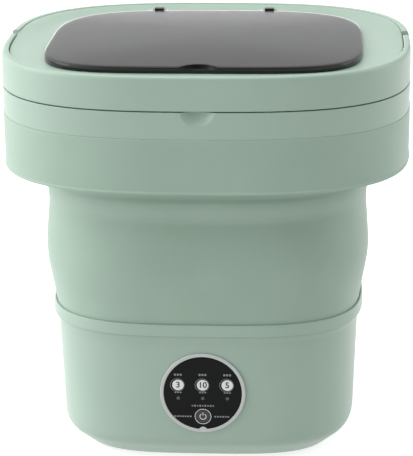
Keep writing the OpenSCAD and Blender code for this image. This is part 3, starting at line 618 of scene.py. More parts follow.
class Finish(Enum):
    """Every finish of the washer."""

    SAGE_PP = Plastic("moulded_pp_sage", "9EB5A6", "97AE9F", roughness=0.38, specular=0.62)
    SAGE_TPE = Plastic("soft_tpe_sage", "9AB2A2", "90A898", roughness=0.50, uneven=0.05,
                       wave_mm=38.0, wave_deep_mm=0.5, sheen=0.14, specular=0.5)
    SAGE_INNER = Plastic("moulded_pp_inner", "8FA899", "8AA394", roughness=0.5)
    SMOKED = ClearPlastic("smoked_acrylic", "121415", roughness=0.2, wear_mm=14.0)
    LENS = ClearPlastic("black_panel_lens", "060708", roughness=0.28, specular=0.12)
    BEZEL = Plastic("satin_abs_silver_grey", "C4CAC7", "BBC2BF", roughness=0.33,
                    grain_deep_mm=0.004)
    BLACK_ABS = Plastic("moulded_abs_black", "17181A", "1C1D1F", roughness=0.38)
    RUBBER = Plastic("nitrile_rubber_black", "222423", "1A1B1B", roughness=0.7, sheen=0.1)
    WHITE_PP = Plastic("moulded_pp_white", "E4E7E1", "DDE0DA", roughness=0.4)
    POM = Plastic("turned_pom_gear", "E3E0D2", "D9D6C7", roughness=0.35, grain_mm=0.3)
    INK_WHITE = Plastic("screen_ink_white", "E9EBEA", "DFE1E0", roughness=0.5, grain_deep_mm=0.002)
    INK_GREY = Plastic("screen_ink_grey", "8B8F8E", "818584", roughness=0.5, grain_deep_mm=0.002)
    INK_BLACK = Plastic("screen_ink_black", "101112", "141516", roughness=0.5, grain_deep_mm=0.002)
    LAMP_OFF = Plastic("lamp_window_unlit", "4A4E4F", "3F4344", roughness=0.3, grain_deep_mm=0.002)
    BOARD = Plastic("board_solder_mask", "2B6A44", "24603C", roughness=0.35)
    STEEL = Metal("bright_zinc_steel", "B9BCC0", roughness=0.28)
    CAN_STEEL = Metal("drawn_steel_can", "A9ADB2", roughness=0.35, mark_mm=0.8)
    FERRITE = Metal("sintered_ferrite", "4A4D50", roughness=0.55)
    IRON = Metal("laminated_core_iron", "8A7D72", roughness=0.5, mark_mm=0.4)


def paint(piece: bpy.types.Object, finish: Finish) -> None:
    """Gives a piece one finish; the material is made once and shared.

    Args:
        piece: The piece.
        finish: Its finish.
    """
    spec = finish.value
    piece.data.materials.clear()
    piece.data.materials.append(bpy.data.materials.get(spec.name) or spec.material())


def fit(piece: bpy.types.Object, body: str, finish: Finish, *replaced: str) -> bpy.types.Object:
    """Makes a new piece ride on a body and wear a finish, and logs it.

    Args:
        piece: The piece.
        body: The body it rides on.
        finish: Its finish.
        *replaced: The CAD nodes that it stands for.

    Returns:
        The same piece.
    """
    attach(piece, body)
    if replaced:
        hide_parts(*replaced)
    paint(piece, finish)
    LOG.info("%s rides on %s, %d faces", piece.name, body, len(piece.data.polygons))
    return piece


# ---------------------------------------------------------------- the washer's sub-assemblies

ROUND = circle(288)
FLANGE = 2.4  # how far a rear fitting's flange lies out from the wall
BEHIND_FLANGE = {"drain_spout": 16.0, "power_inlet": 1.4}  # how far it goes on behind that


@dataclass
class Base:
    """The hard base: housing, clamp ring, and at the rear the spout with its plug and pads under
    the spout and the inlet.

    Attributes:
        wall: Wall thickness of the housing.
        draft: Inward lean of the wall for each millimetre down.
        squareness: Squareness of the base's plan.
        chamfer_top: Height where the bottom chamfer meets the wall.
        chamfer_in: How far the chamfer comes in.
        ring_lip: Thickness of the clamp ring's upper lip.
        ring_face: Height of the clamp ring's straight face.
        lip_step: How far the ring steps in below its face.
        face_lean: How far the ring's face leans in at its top.
        panel_hole: Radius of the hole behind the control panel.
        foot_n: Squareness of the plan at the bottom edge.
        rear_fittings: CAD node, bore through the wall and pad radius of each rear fitting.
    """

    wall: float = 2.6
    draft: float = 0.0385
    squareness: float = 3.3
    chamfer_top: float = 17.6
    chamfer_in: float = 16.6
    ring_lip: float = 2.0
    ring_face: float = 8.7
    lip_step: float = 1.6
    face_lean: float = 0.6
    panel_hole: float = 29.75
    foot_n: float = 3.6
    rear_fittings: tuple = (("drain_spout", 8.1, 13.0), ("power_inlet", 5.1, 8.5))
    low: np.ndarray = field(init=False)
    high: np.ndarray = field(init=False)

    def __post_init__(self) -> None:
        """Reads the housing's box from the frame."""
        self.low, self.high = cad_box("base_shell")

    def half(self, z: float) -> tuple[float, float]:
        """Half width and half depth of the wall's outer face at a height, leaning by the draft."""
        drop = self.draft * (self.high[2] - z)
        return self.high[0] - drop, -self.low[1] - drop

    def housing(self) -> None:
        """The tapered housing, rounded at its bottom edge, open at the top."""
        top, floor = self.high[2], self.low[2]
        top_a, top_b = self.half(top)
        mid_a, mid_b = self.half(self.chamfer_top)
        low_a, low_b = mid_a - self.chamfer_in, mid_b - self.chamfer_in
        w, n, foot_n = self.wall, self.squareness, self.foot_n
        corners = column(
            (low_a - 2.2, low_b - 2.2, foot_n, floor), (low_a, low_b, foot_n, floor),
            (mid_a, mid_b, n + 0.05, self.chamfer_top), (top_a, top_b, n, top),
            (top_a - w, top_b - w, n, top), (mid_a - w, mid_b - w, n, self.chamfer_top + 2),
            (low_a - 2.2, low_b - 2.2, foot_n, floor + 5))
        profile = spread(rounded(corners, [0.3, 2.5, 6.0, 0.4, 0.4, 5.0, 0.5], 9), 4.0)
        piece = tube_mesh("base_housing", loft(profile, ROUND))
        holes = [rod("panel_hole", self.panel_hole, -9, 9, panel_place(self))]
        for node, bore, _ in self.rear_fittings:
            holes.append(rod(node + "_hole", bore, -30, 40, rear_place(node)))
        cut(piece, holes)
        fit(piece, "base", Finish.SAGE_PP, "base_shell")

    def clamp_ring(self) -> None:
        """The ring round the base's top edge: a straight face that tapers into the wall."""
        low, high = cad_box("clamp_ring")
        a, b, n = high[0], -low[1], self.squareness
        face, flat_n = high[2] - self.ring_face, self.squareness - 0.05
        seat_a, seat_b = self.half(low[2])
        step, lean, lip = self.lip_step, self.face_lean, self.ring_lip
        corners = column(
            (seat_a + 0.05, seat_b + 0.05, n, low[2]),
            (seat_a + 0.12, seat_b + 0.12, n, low[2] + 0.1),
            (seat_a + 0.2, seat_b + 0.2, n, low[2] + 2.5),
            (a - step, b - step, flat_n, face - 1.6), (a - step, b - step, flat_n, face),
            (a, b, flat_n, face), (a - lean, b - lean, flat_n, high[2]),
            (a - lip, b - lip, flat_n, high[2]), (a - lip, b - lip, flat_n, high[2] - 5.5),
            (seat_a + 0.4, seat_b + 0.4, n, high[2] - 7))
        radii = [0.02, 0.1, 5.0, 1.5, 0.2, 0.6, 0.8, 0.5, 0.5, 0.3]
        profile = spread(rounded(corners, radii, 6), 3.0)
        piece = tube_mesh("base_clamp_ring", loft(profile, ROUND))
        fit(piece, "base", Finish.SAGE_PP, "clamp_ring")

    def pads(self) -> None:
        """Flat round pads on the curved rear wall, under the spout's and the inlet's flanges."""
        for node, bore, radius in self.rear_fittings:
            piece = turned(
                node + "_pad", [(bore, -4.0), (radius, -4.0), (radius, 2.38), (bore, 2.38)],
                [0, 0, 0.6, 0], rear_place(node))
            fit(piece, "base", Finish.SAGE_PP)

    def spout(self) -> None:
        """The drain spout with two hose barbs, and its pull-out plug."""
        place = rear_place("drain_spout")
        end = cad_box("drain_spout")[1][1] - place.translation.y
        bore, tube_r, flange_r = 6.0, 8.0, 12.0
        piece = turned(
            "spout_barbed",
            [(bore, -9.5), (tube_r, -9.5), (tube_r, FLANGE), (flange_r, FLANGE), (flange_r, 4.0),
             (tube_r - 0.5, 4.0), (tube_r - 0.5, end - 10), (tube_r, end - 10),
             (tube_r - 0.7, end - 5.5), (tube_r, end - 5.5), (tube_r - 0.9, end), (bore, end)],
            [0.1, 0.1, 0.1, 0.5, 0.5, 0.5, 0.2, 0.2, 0.2, 0.2, 0.4, 0.3], place)
        fit(piece, "base", Finish.SAGE_INNER, "drain_spout")
        low, high = cad_box("drain_plug")
        start, stop = low[1] - place.translation.y, high[1] - place.translation.y
        head = stop - 6
        rows = np.array([
            (0.5, start), (5.2, start), (5.85, start + 1), (5.85, head), (7.2, head),
            (7.75, head + 0.6), (7.75, stop - 1.2), (7.2, stop - 0.3), (6.2, stop), (0.5, stop)])
        radius, height = rows[:, :1], rows[:, 1:]
        angle = circle(96)
        ribs = 0.02 * np.cos(12 * angle) * ((height > head + 0.3) & (height < stop - 0.6))
        grid = revolve(np.minimum(radius * (1 + ribs), 7.8), height, angle)
        plug = capped_mesh("spout_plug", moved(grid, place), 30.0)
        fit(plug, "drain_plug", Finish.RUBBER, "drain_plug")

    def build(self) -> None:
        """Builds and dresses every new piece of the base."""
        self.housing()
        self.clamp_ring()
        self.pads()
        self.spout()


def panel_place(base: Base) -> Matrix:
    """Where the control panel lies: its axis is square to the leaning front wall.

    Args:
        base: The base whose wall carries the panel.

    Returns:
        A placement whose local Z points out of the wall and whose local Y points up.
    """
    low, high = cad_box("panel_ring")
    z = (low[2] + high[2]) / 2
    lean = math.atan(base.draft)
    turn = Matrix.Rotation(math.pi / 2 + lean, 4, "X")
    return Matrix.Translation((0, -base.half(z)[1] - 0.03, z)) @ turn


def rear_place(node: str) -> Matrix:
    """Where a rear fitting's axis crosses the wall, its local Z pointing backwards.

    Args:
        node: The fitting's CAD node.

    Returns:
        The placement.
    """
    low, high = cad_box(node)
    back = FLANGE + BEHIND_FLANGE[node]
    middle = (low + high) / 2
    turn = Matrix.Rotation(-math.pi / 2, 4, "X")
    return Matrix.Translation((middle[0], high[1] - back, middle[2])) @ turn


@dataclass
class SoftWall:
    """The soft folding wall between the base and the collar, with the sloping shoulder.

    Attributes:
        thickness: Thickness of the wall.
        keys: Height, half width and half depth of the outer face, from the foot to the shoulder.
        soft_from: Height where the faint dents start.
        soft_to: Height where they end.
        fixed_z: Height that stays still as the tub folds; not used.
        travel: How far the collar comes down as the tub folds; not used.
    """

    thickness: float = 2.4
    keys: tuple = (
        (109.0, 114.6, 101.2), (113.0, 114.7, 101.3), (119.0, 115.6, 102.3), (127.0, 117.0, 103.6),
        (137.0, 118.8, 105.2), (147.0, 120.3, 106.4), (156.0, 120.6, 106.7), (170.0, 119.7, 105.6),
        (180.0, 118.9, 104.7), (186.0, 118.7, 104.0), (190.5, 118.8, 103.7), (194.5, 119.1, 104.6),
        (198.0, 119.4, 106.4), (202.0, 119.7, 108.0), (206.0, 119.8, 108.6), (209.5, 119.9, 108.1),
        (212.5, 121.5, 108.2),
    )
    soft_from: float = 116.0
    soft_to: float = 196.0
    fixed_z: float = 113.0
    travel: float = 100.0

    def build(self) -> None:
        """Builds the wall as one closed skin, with faint dents in its outer face.

        The dents are sums of sines of the polar angle and the height, under a millimetre deep.
        """
        low, high = cad_box("folding_wall")
        half_w, half_d = high[0], -low[1]
        curve = smooth_curve(np.array(self.keys), 6)
        z, a, b = curve[:, 0], curve[:, 1], curve[:, 2]
        n = np.interp(z, (113, 203), (3.28, 2.95))
        outer = np.stack([a, b, n, z], axis=1)
        shoulder = np.array([
            (126.5, 112.0, 2.93, 215.4), (half_w - 6.0, half_d - 6.0, 2.9, high[2] - 2.2),
            (half_w - 4.0, half_d - 4.0, 2.9, high[2])])
        steps = np.linspace(0, 1, 14)[:, None]
        slope = shoulder[0] * (1 - steps) + shoulder[1] * steps
        outer = np.concatenate([outer, slope, shoulder[2:]])
        inner = outer[::-1] - np.array([self.thickness, self.thickness, 0, 0])
        grid = loft(column(*outer, *inner), ROUND)
        height = grid[..., 2]
        share = (height - self.soft_from) / (self.soft_to - self.soft_from)
        swell = np.sin(np.pi * np.clip(share, 0, 1))
        dents = 0.35 * np.sin(3 * ROUND + height / 17 + 0.6)
        dents = dents + 0.22 * np.sin(7 * ROUND - height / 11)
        radial = grid[..., :2] / np.linalg.norm(grid[..., :2], axis=-1, keepdims=True)
        grid[..., :2] += radial * (swell * dents)[..., None]
        piece = tube_mesh("soft_folding_wall", grid, 60.0)
        fit(piece, "base", Finish.SAGE_TPE, "folding_wall")
        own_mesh(piece)


@dataclass
class Collar:
    """The wide collar: soft band, hard rim with the finger scallop, and the carry handle.

    Attributes:
        squareness: Squareness of the collar's plan.
        draft: How much the collar narrows from its lower edge to the rim's top, per side.
        bow_t: Thickness of the handle's bow.
        rim_inner: Thickness of the rim from outside to its inner wall.
        seat_drop: How far the lid's seat lies below the rim's top.
        pivot_y: How far the handle pivots lie behind the middle.
        scallop_r: Radius of the ball that shapes the finger scallop.
        scallop_deep: Depth of the scallop.
        lip_drop: How far the soft band's lip hangs down past the shoulder's edge.
        seam_in: How far the rim steps in where it meets the soft band.
        slot_gap: Gap between the bow's inner face and the rim.
    """

    squareness: float = 2.9
    draft: float = 0.5
    bow_t: float = 5.0
    rim_inner: float = 8.5
    seat_drop: float = 5.5
    pivot_y: float = 8.0
    scallop_r: float = 24.0
    scallop_deep: float = 3.8
    lip_drop: float = 1.8
    seam_in: float = 0.4
    slot_gap: float = 0.5
    half_w: float = field(init=False)
    half_d: float = field(init=False)
    top: float = field(init=False)

    def __post_init__(self) -> None:
        """Reads the collar's outline from the frame."""
        low, high = cad_box("upper_rim")
        self.half_w, self.half_d, self.top = high[0], -low[1], high[2]

    def outline(self, inset: float, angle: np.ndarray) -> np.ndarray:
        """The collar's plan at polar angles, drawn in by an inset."""
        return ring(self.half_w - inset, self.half_d - inset, self.squareness, angle)

    def around(self, profile: np.ndarray, angle: np.ndarray) -> np.ndarray:
        """Carries a profile of (distance in from the collar's face, height) round the collar.

        Args:
            profile: (rows, columns or 1, 2).
            angle: (columns,) polar angles.

        Returns:
            (rows, columns, 3) points; the face narrows evenly with height by the draft.
        """
        inset, z = profile[..., 0], profile[..., 1]
        foot = cad_box("collar_band")[0][2]
        lean = self.draft * np.clip((z - foot) / (self.top - foot), 0, 1)
        full = np.stack([
            self.half_w - inset - lean, self.half_d - inset - lean,
            np.full_like(inset, self.squareness), z], axis=-1)
        return loft(full, angle)

    def band(self) -> None:
        """The soft band with a fine bead at its lower edge."""
        low, high = cad_box("collar_band")
        core_low = cad_box("band_core")[0][2]
        foot = low[2] - self.lip_drop
        top = high[2] + 0.24
        corners = column(
            (2.8, foot), (0.6, foot), (0.0, foot + 0.6), (0.0, foot + 1.5), (0.55, foot + 2.2),
            (0.3, foot + 12), (0.0, high[2] - 8), (0.0, top), (2.6, top),
            (2.6, core_low + 1), (3.0, core_low), (3.0, foot + 0.4))
        radii = [0.4, 0.5, 0.4, 0.3, 0.5, 6, 6, 0.8, 0.2, 0.2, 0.2, 0.3]
        profile = spread(rounded(corners, radii, 6), 4.0)
        piece = tube_mesh("collar_soft_band", self.around(profile, ROUND))
        fit(piece, "collar", Finish.SAGE_TPE, "collar_band")

    def rim(self) -> None:
        """The hard rim: low in front, under the handle's bow, and full height behind it.

        The recess floor follows the bow's round end: below the pivot's height it is an arc about
        the pivot, and behind that arc the rim rises to its full height.
        """
        foot = cad_box("upper_rim")[0][2]
        bow_low, bow_high = cad_box("carry_handle")
        pivot_z = (bow_low[2] + bow_high[2]) / 2
        arc_r = (bow_high[2] - bow_low[2]) / 2 + 0.7
        middle = self.bow_t / 2
        step_angle = math.atan2(self.pivot_y + arc_r, self.half_w - middle)
        before = (0.095, 0.075, 0.055, 0.04, 0.03, 0.02, 0.012, 0.006, 0.002, -0.001)
        fine = step_angle - np.array(before)
        front = np.linspace(-0.13, 0.13, 60) - np.pi / 2
        even = np.linspace(-np.pi, np.pi, 260, endpoint=False)
        angle = merged(even, fine, np.pi - fine, front)
        behind = self.outline(middle, angle)[:, 1] - self.pivot_y
        arc = pivot_z - np.sqrt(np.maximum(arc_r**2 - np.clip(behind, 0, arc_r) ** 2, 0))
        floor = np.where(behind < arc_r, arc, self.top)
        seat = self.top - self.seat_drop
        slot, inner = self.bow_t + self.slot_gap, self.rim_inner
        corners = pairs(
            floor, (self.seam_in, foot), (0, floor), (slot, floor),
            (slot, seat), (inner, seat), (inner, foot))
        top_r = np.where(behind < arc_r, 0.6, 3.2)
        radii = np.stack(np.broadcast_arrays(0.15, top_r, 0.5, 0.5, 0.5, 0.5))
        grid = self.around(spread(rounded(corners, radii, 7), 1.6), angle)
        piece = tube_mesh("collar_hard_rim", self.scalloped(grid, bow_low[2]), 50.0)
        fit(piece, "collar", Finish.SAGE_PP, "upper_rim")

    def scalloped(self, grid: np.ndarray, under: float) -> np.ndarray:
        """Presses a ball into the front face, just below the bow.

        A face point in front of the ball's rear half moves back onto it.

        Args:
            grid: (rows, columns, 3) points of the rim.
            under: Height of the bow's lower edge.

        Returns:
            The changed points.
        """
        x, y, z = grid[..., 0], grid[..., 1], grid[..., 2]
        middle_y = -self.half_d - self.scallop_r + self.scallop_deep
        left = self.scallop_r**2 - x**2 - (z - under - 1.5) ** 2
        ball = middle_y + np.sqrt(np.maximum(left, 0))
        face = (y < -self.half_d + self.bow_t) & (left > 0) & (ball > y)
        grid[..., 1] = np.where(face, ball, y)
        return grid

    def handle(self) -> None:
        """The carry handle: a flat bow round the front half with round ends on its pivots.

        Its section is a rectangle with rounded corners; behind the pivots its half height is that
        of a circle about the pivot.
        """
        low, high = cad_box("carry_handle")
        middle_z, half_h = (low[2] + high[2]) / 2, (high[2] - low[2]) / 2
        end = math.atan2(self.pivot_y + half_h - 0.02, self.half_w)
        s = np.linspace(0, 1, 300)
        dense = 0.55 * s + 0.45 * (1 - np.cos(np.pi * s)) / 2
        near = np.geomspace(0.0002, 0.02, 12)
        sweep = end + (-np.pi - 2 * end) * dense
        tip = np.sort(np.concatenate([sweep, end - near, -np.pi - end + near]))
        y = self.outline(self.bow_t / 2, tip)[:, 1]
        behind = np.clip(y - self.pivot_y, 0, half_h)
        tall = np.maximum(np.sqrt(np.maximum(half_h**2 - behind**2, 0)), 0.15)
        under, over = middle_z - tall, middle_z + tall
        corners = pairs(tall, (0, under), (0, over), (self.bow_t, over), (self.bow_t, under))
        cap = np.minimum(tall * 0.8, 10)
        radii = np.stack([np.minimum(r, cap) for r in (1.0, 4.2, 0.8, 0.8)])
        grid = self.around(spread(rounded(corners, radii, 8), 3.0), tip)
        piece = capped_mesh("carry_bow", grid.transpose(1, 0, 2), 50.0)
        fit(piece, "handle", Finish.SAGE_PP, "carry_handle")

    def build(self) -> None:
        """Builds and dresses the collar and its handle."""
        self.band()
        self.rim()
        self.handle()


@dataclass
class Lid:
    """The lid plate and its smoked flap window.

    Attributes:
        collar: The collar that the lid lies in.
        edge_gap: Gap between the lid plate and the rim's or the bow's inner face.
        hole_in: How far the window opening lies inside the flap's outline.
        rear_n: Squareness of the flap's rear half.
        front_n: Squareness of the flap's front half.
        notch_r: Radius of the finger notch in the flap's front edge.
        notch_deep: Depth of the notch.
        crown: How much higher the flap's middle lies than its edge.
        rear_rise: How much the lid plate rises at its rear edge, to lie flush with the rim.
        rise_reach: How far in from that edge the rise fades out.
        hinge_w: Width of each black hinge block, with an ear at each end.
        ear_t: Thickness of a hinge ear.
        ear_r: Radius of a hinge ear's round top.
    """

    collar: Collar
    edge_gap: float = 0.4
    hole_in: float = 10.0
    rear_n: float = 3.35
    front_n: float = 4.6
    notch_r: float = 14.0
    notch_deep: float = 9.0
    crown: float = 0.95
    rear_rise: float = 1.7
    rise_reach: float = 22.0
    hinge_w: float = 7.0
    ear_t: float = 1.5
    ear_r: float = 2.1

    def flap_outline(self, inset: float, angle: np.ndarray) -> np.ndarray:
        """The flap's outline, drawn in by an inset, its halves of different squareness.

        Args:
            inset: Distance in from the flap's edge.
            angle: Polar angles about the flap's middle.

        Returns:
            (columns, 2) points in the washer's frame.
        """
        low, high = cad_box("window_flap")
        middle = (low + high) / 2
        half = (high - low) / 2 - inset
        n = np.where(np.sin(angle) > 0, self.rear_n, self.front_n)
        return ring(half[0], half[1], n, angle) + middle[:2]

    def plate(self) -> None:
        """The lid plate: a ring from the rim to the window opening, with a skirt below.

        Each point lies between the outer outline and the opening's outline, by a share of the
        plate's nominal span.
        """
        low = cad_box("lid_plate")[0]
        body_top = cad_box("window_flap")[0][2] - 0.3
        under = body_top - 3.2
        inset = self.collar.bow_t + self.collar.slot_gap + self.edge_gap
        outer = self.collar.outline(inset, ROUND)
        hole = self.flap_outline(self.hole_in, ROUND)
        span = 40.0
        corners = column(
            (0, under), (0, body_top), (0.98 * span, body_top), (span, body_top - 0.3),
            (span, under), (6.7, under), (6.7, low[2]), (4.5, low[2]), (4.5, under))
        radii = [0.4, 1.3, 0.2, 0.4, 0.4, 0.5, 0.5, 0.5, 0.5]
        rows = spread(rounded(corners, radii, 6), 3.0)[:, 0]
        share = (rows[:, 0] / span)[:, None, None]
        xy = outer * (1 - share) + hole * share
        ramp = np.clip((xy[..., 1] / self.collar.half_d + 0.25) / 0.7, 0, 1)
        fall = np.clip(1 - rows[:, :1] / self.rise_reach, 0, 1)
        upper = rows[:, 1:] > under + 0.5
        rise = self.rear_rise * eased(ramp) * eased(fall) * upper
        piece = tube_mesh("lid_top_plate", lifted(xy, rows[:, 1:] + rise), 35.0)
        fit(piece, "lid", Finish.SAGE_PP, "lid_plate")

    def ears(self) -> None:
        """Two pairs of slim hinge ears behind the flap, each pair with a short pin."""
        low = cad_box("window_hinges")[0]
        pin_low, pin_high = cad_box("hinge_pins")
        centre = (pin_low[1:] + pin_high[1:]) / 2
        foot = cad_box("window_flap")[0][2] - 0.5
        block = self.hinge_w / 2 + 0.3
        t = np.linspace(0, np.pi, 13)
        outline = np.concatenate([
            centre + self.ear_r * np.stack([np.cos(t), np.sin(t)], 1),
            [(centre[0] - self.ear_r, foot), (centre[0] + self.ear_r, foot)]])
        pull = np.array([0.9, 1.0, 1.0, 0.9])[:, None, None]
        yz = centre + (outline[None] - centre) * pull
        for side, word in ((-1, "left"), (1, "right")):
            hinge_x = side * (abs(low[0]) - self.hinge_w / 2)
            for inner, letter in ((-1, "_a"), (1, "_b")):
                middle = hinge_x + inner * (block + self.ear_t / 2)
                x = middle + np.array([-0.5, -0.42, 0.42, 0.5])[:, None] * self.ear_t
                grid = np.roll(lifted(yz, x), 1, axis=-1)
                piece = capped_mesh("hinge_ear_" + word + letter, grid, 35.0)
                fit(piece, "lid", Finish.SAGE_PP)

    def flap(self) -> None:
        """The smoked flap: a shallow upturned tray, slightly crowned, notched at its front."""
        low, high = cad_box("window_flap")
        even = np.linspace(-np.pi, np.pi, 256, endpoint=False)
        front = np.linspace(-0.22, 0.22, 90) - np.pi / 2
        edge = self.flap_outline(0.0, merged(even, front))
        middle = (low + high)[:2] / 2
        thick = 2.4
        top = high[2] + 0.35 - self.crown
        inner_top = top - thick
        rows = np.array([
            (0.02, inner_top), (0.5, inner_top), (0.8, inner_top), (0.94, inner_top - 0.1),
            (0.965, inner_top - 1.0), (0.974, inner_top - 2.0), (0.976, low[2] + 0.3),
            (0.979, low[2]), (0.993, low[2]), (1.0, low[2] + 0.5), (1.0, top - 0.9),
            (0.9985, top - 0.35), (0.994, top - 0.08),
            *((share, top) for share in (0.985, 0.96, 0.9, 0.8, 0.65, 0.5, 0.35, 0.2, 0.08, 0.02))])
        share, height = rows[:, :1], rows[:, 1:]
        xy = middle + (edge - middle) * share[..., None]
        crowned = np.where(height >= top - 0.01, self.crown * (1 - share**2), 0.0)
        piece = capped_mesh("smoked_flap", lifted(xy, height + crowned), 50.0)
        notch_y = low[1] - self.notch_r + self.notch_deep
        place = Matrix.Translation((0, notch_y, 0))
        cut(piece, [rod("notch_cut", self.notch_r, inner_top + 0.4, high[2] + 2, place)])
        fit(piece, "window", Finish.SMOKED, "window_flap")

    def build(self) -> None:
        """Builds and dresses the lid plate, its hinge ears and the flap."""
        self.plate()
        self.ears()
        self.flap()


@dataclass
class Panel:
    """The round control panel: bezel, glossy lens, printed marks, lamps and start button.

    Attributes:
        base: The base that carries it.
        bezel_r: Outer radius of the bezel.
        lens_r: Radius of the lens.
        proud: Height of the bezel's face above the wall.
        mark_gap: Distance between the programme marks.
        mark_up: Height of the programme marks above the middle.
        mark_r: Radius of a programme mark.
        button_drop: Distance of the start button below the middle.
        button_r: Radius of the start button.
        ink: Thickness of the printed ink.
    """

    base: Base
    bezel_r: float = 31.3
    lens_r: float = 28.6
    proud: float = 1.35
    mark_gap: float = 18.0
    mark_up: float = 6.5
    mark_r: float = 4.2
    button_drop: float = 18.5
    button_r: float = 5.2
    ink: float = 0.05
    place: Matrix = field(init=False)
    face: float = field(init=False)

    def __post_init__(self) -> None:
        """Finds the panel's place on the wall, and the height of the lens's face above it."""
        self.place = panel_place(self.base)
        self.face = self.proud - 0.1

    def at(self, x: float, y: float, z: float) -> Matrix:
        """A placement at a point of the panel's face, z out of it."""
        return self.place @ Matrix.Translation((x, y, z))

    def bezel(self) -> None:
        """The satin ring round the lens, with a small tab at its lowest point."""
        p, r, lens = self.proud, self.bezel_r, self.lens_r
        piece = turned(
            "panel_bezel",
            [(lens + 0.1, -7.9), (lens + 1.0, -7.9), (lens + 1.0, 0.15), (r, 0.15), (r, p),
             (lens + 0.1, p)],
            [0.1, 0.2, 0.05, 0.2, 0.7, 0.4], self.place, 160, 6)
        fit(piece, "base", Finish.BEZEL, "panel_ring")
        t = np.linspace(-1, 1, 13)
        outline = np.stack([3.3 * t, -lens - 0.5 + 2.4 * np.cos(t * np.pi / 2) ** 0.7], 1)
        outline = np.concatenate([outline, [(3.3, -lens - 1.4), (-3.3, -lens - 1.4)]])
        self.plate_of("panel_bezel_tab", outline, self.face - 0.4, p - 0.02, Finish.BEZEL)

    def plate_of(
        self, name: str, outline: np.ndarray, low: float, high: float, finish: Finish
    ) -> None:
        """A thin plate between two heights, from an outline (points, 2) on the panel's face."""
        grid = lifted(np.stack([outline, outline]), np.array([[low], [high]]))
        fit(capped_mesh(name, moved(grid, self.place), 20.0), "base", finish)

    def lens(self) -> None:
        """The black lens, with the hole for the start button."""
        f, angle = self.face, circle(160)
        unit = np.stack([np.cos(angle), np.sin(angle)], 1)
        outer = unit * self.lens_r
        inner = unit * (self.button_r + 0.25) + np.array([0, -self.button_drop])
        rows = np.array([
            (0.0, f - 1.2), (0.0, f - 0.3), (0.012, f - 0.06), (0.03, f), (0.3, f), (0.6, f),
            (0.99, f), (1.0, f - 0.05), (1.0, f - 1.2), (0.5, f - 1.2)])
        share = rows[:, 0][:, None, None]
        grid = lifted(outer * (1 - share) + inner * share, rows[:, 1:])
        piece = tube_mesh("panel_glass", moved(grid, self.place), 30.0)
        fit(piece, "base", Finish.LENS, "panel_lens")

    def printed_ring(
        self, name: str, x: float, y: float, inner: float, outer: float, finish: Finish
    ) -> None:
        """A printed ring, or a disc where the inner radius is close to nothing.

        Args:
            name: The piece's name.
            x: Distance right of the panel's middle.
            y: Distance above it.
            inner: Inner radius.
            outer: Outer radius.
            finish: Its finish.
        """
        low, high = self.face, self.face + self.ink
        profile = [(inner, low), (outer, low), (outer, high), (inner, high)]
        fit(turned(name, profile, [0] * 4, self.at(x, y, 0), 64, 2), "base", finish)

    def bar(self, name: str, x: float, y: float, w: float, h: float) -> None:
        """A printed grey bar centred at a point of the lens."""
        outline = np.array([(-w, -h), (w, -h), (w, h), (-w, h)]) / 2 + np.array([x, y])
        self.plate_of(name, outline, self.face, self.face + self.ink, Finish.INK_GREY)

    def numeral(self, text: str, x: float, y: float, size: float) -> None:
        """A printed number of minutes, centred at a point of the lens.

        Args:
            text: The digits.
            x: Distance right of the panel's middle.
            y: Distance above it.
            size: Height of the letters' body.
        """
        curve = bpy.data.curves.new("minutes_" + text, "FONT")
        curve.body = text
        curve.size = size * MM
        curve.align_x, curve.align_y = "CENTER", "CENTER"
        curve.extrude = self.ink * 0.5 * MM
        curve.offset = 0.12 * MM
        made = add_object("minutes_text", curve)
        graph = bpy.context.evaluated_depsgraph_get()
        mesh = bpy.data.meshes.new_from_object(made.evaluated_get(graph))
        bpy.data.objects.remove(made)
        place = self.at(x, y, self.face + self.ink * 1.6)
        place.translation *= MM
        mesh.transform(place)
        fit(add_object("minutes_" + text, mesh), "base", Finish.INK_BLACK)

    def marks(self) -> None:
        """Programme marks, their lamps, and plain bars where a real panel has captions."""
        up, r, down = self.mark_up, self.mark_r, -self.button_drop
        for text, side in (("3", -1), ("10", 0), ("5", 1)):
            x = side * self.mark_gap
            self.printed_ring(f"mark_disc_{text}", x, up, 0.05, r, Finish.INK_WHITE)
            self.printed_ring(f"mark_ring_{text}", x - 0.5, up, r + 0.7, r + 1.0, Finish.INK_GREY)
            self.numeral(text, x, up, 6.4)
            self.printed_ring(f"lamp_dot_{text}", x, -4.0, 0.05, 1.25, Finish.LAMP_OFF)
            for k in (-1, 0, 1):
                self.bar(f"caption_{text}_{k + 1}", x + 2.1 * k, up + 8.2, 1.4, 1.5)
                self.bar(f"unit_{text}_{k + 1}", x + 1.9 * k, up - 5.9, 1.2, 0.9)
        for k in range(-4, 5):
            self.bar(f"hint_{k + 4}", 1.9 * k, -9.9, 1.1, 1.5 if k % 2 else 1.0)
        for word, side, count in (("left", -1, 8), ("right", 1, 6)):
            for k in range(count):
                self.bar(f"side_{word}_{k}", side * (9.0 + 1.9 * k), down, 1.2, 1.1)
        inner = self.button_r + 0.45
        self.printed_ring("start_ring", 0, down, inner, inner + 0.4, Finish.INK_WHITE)

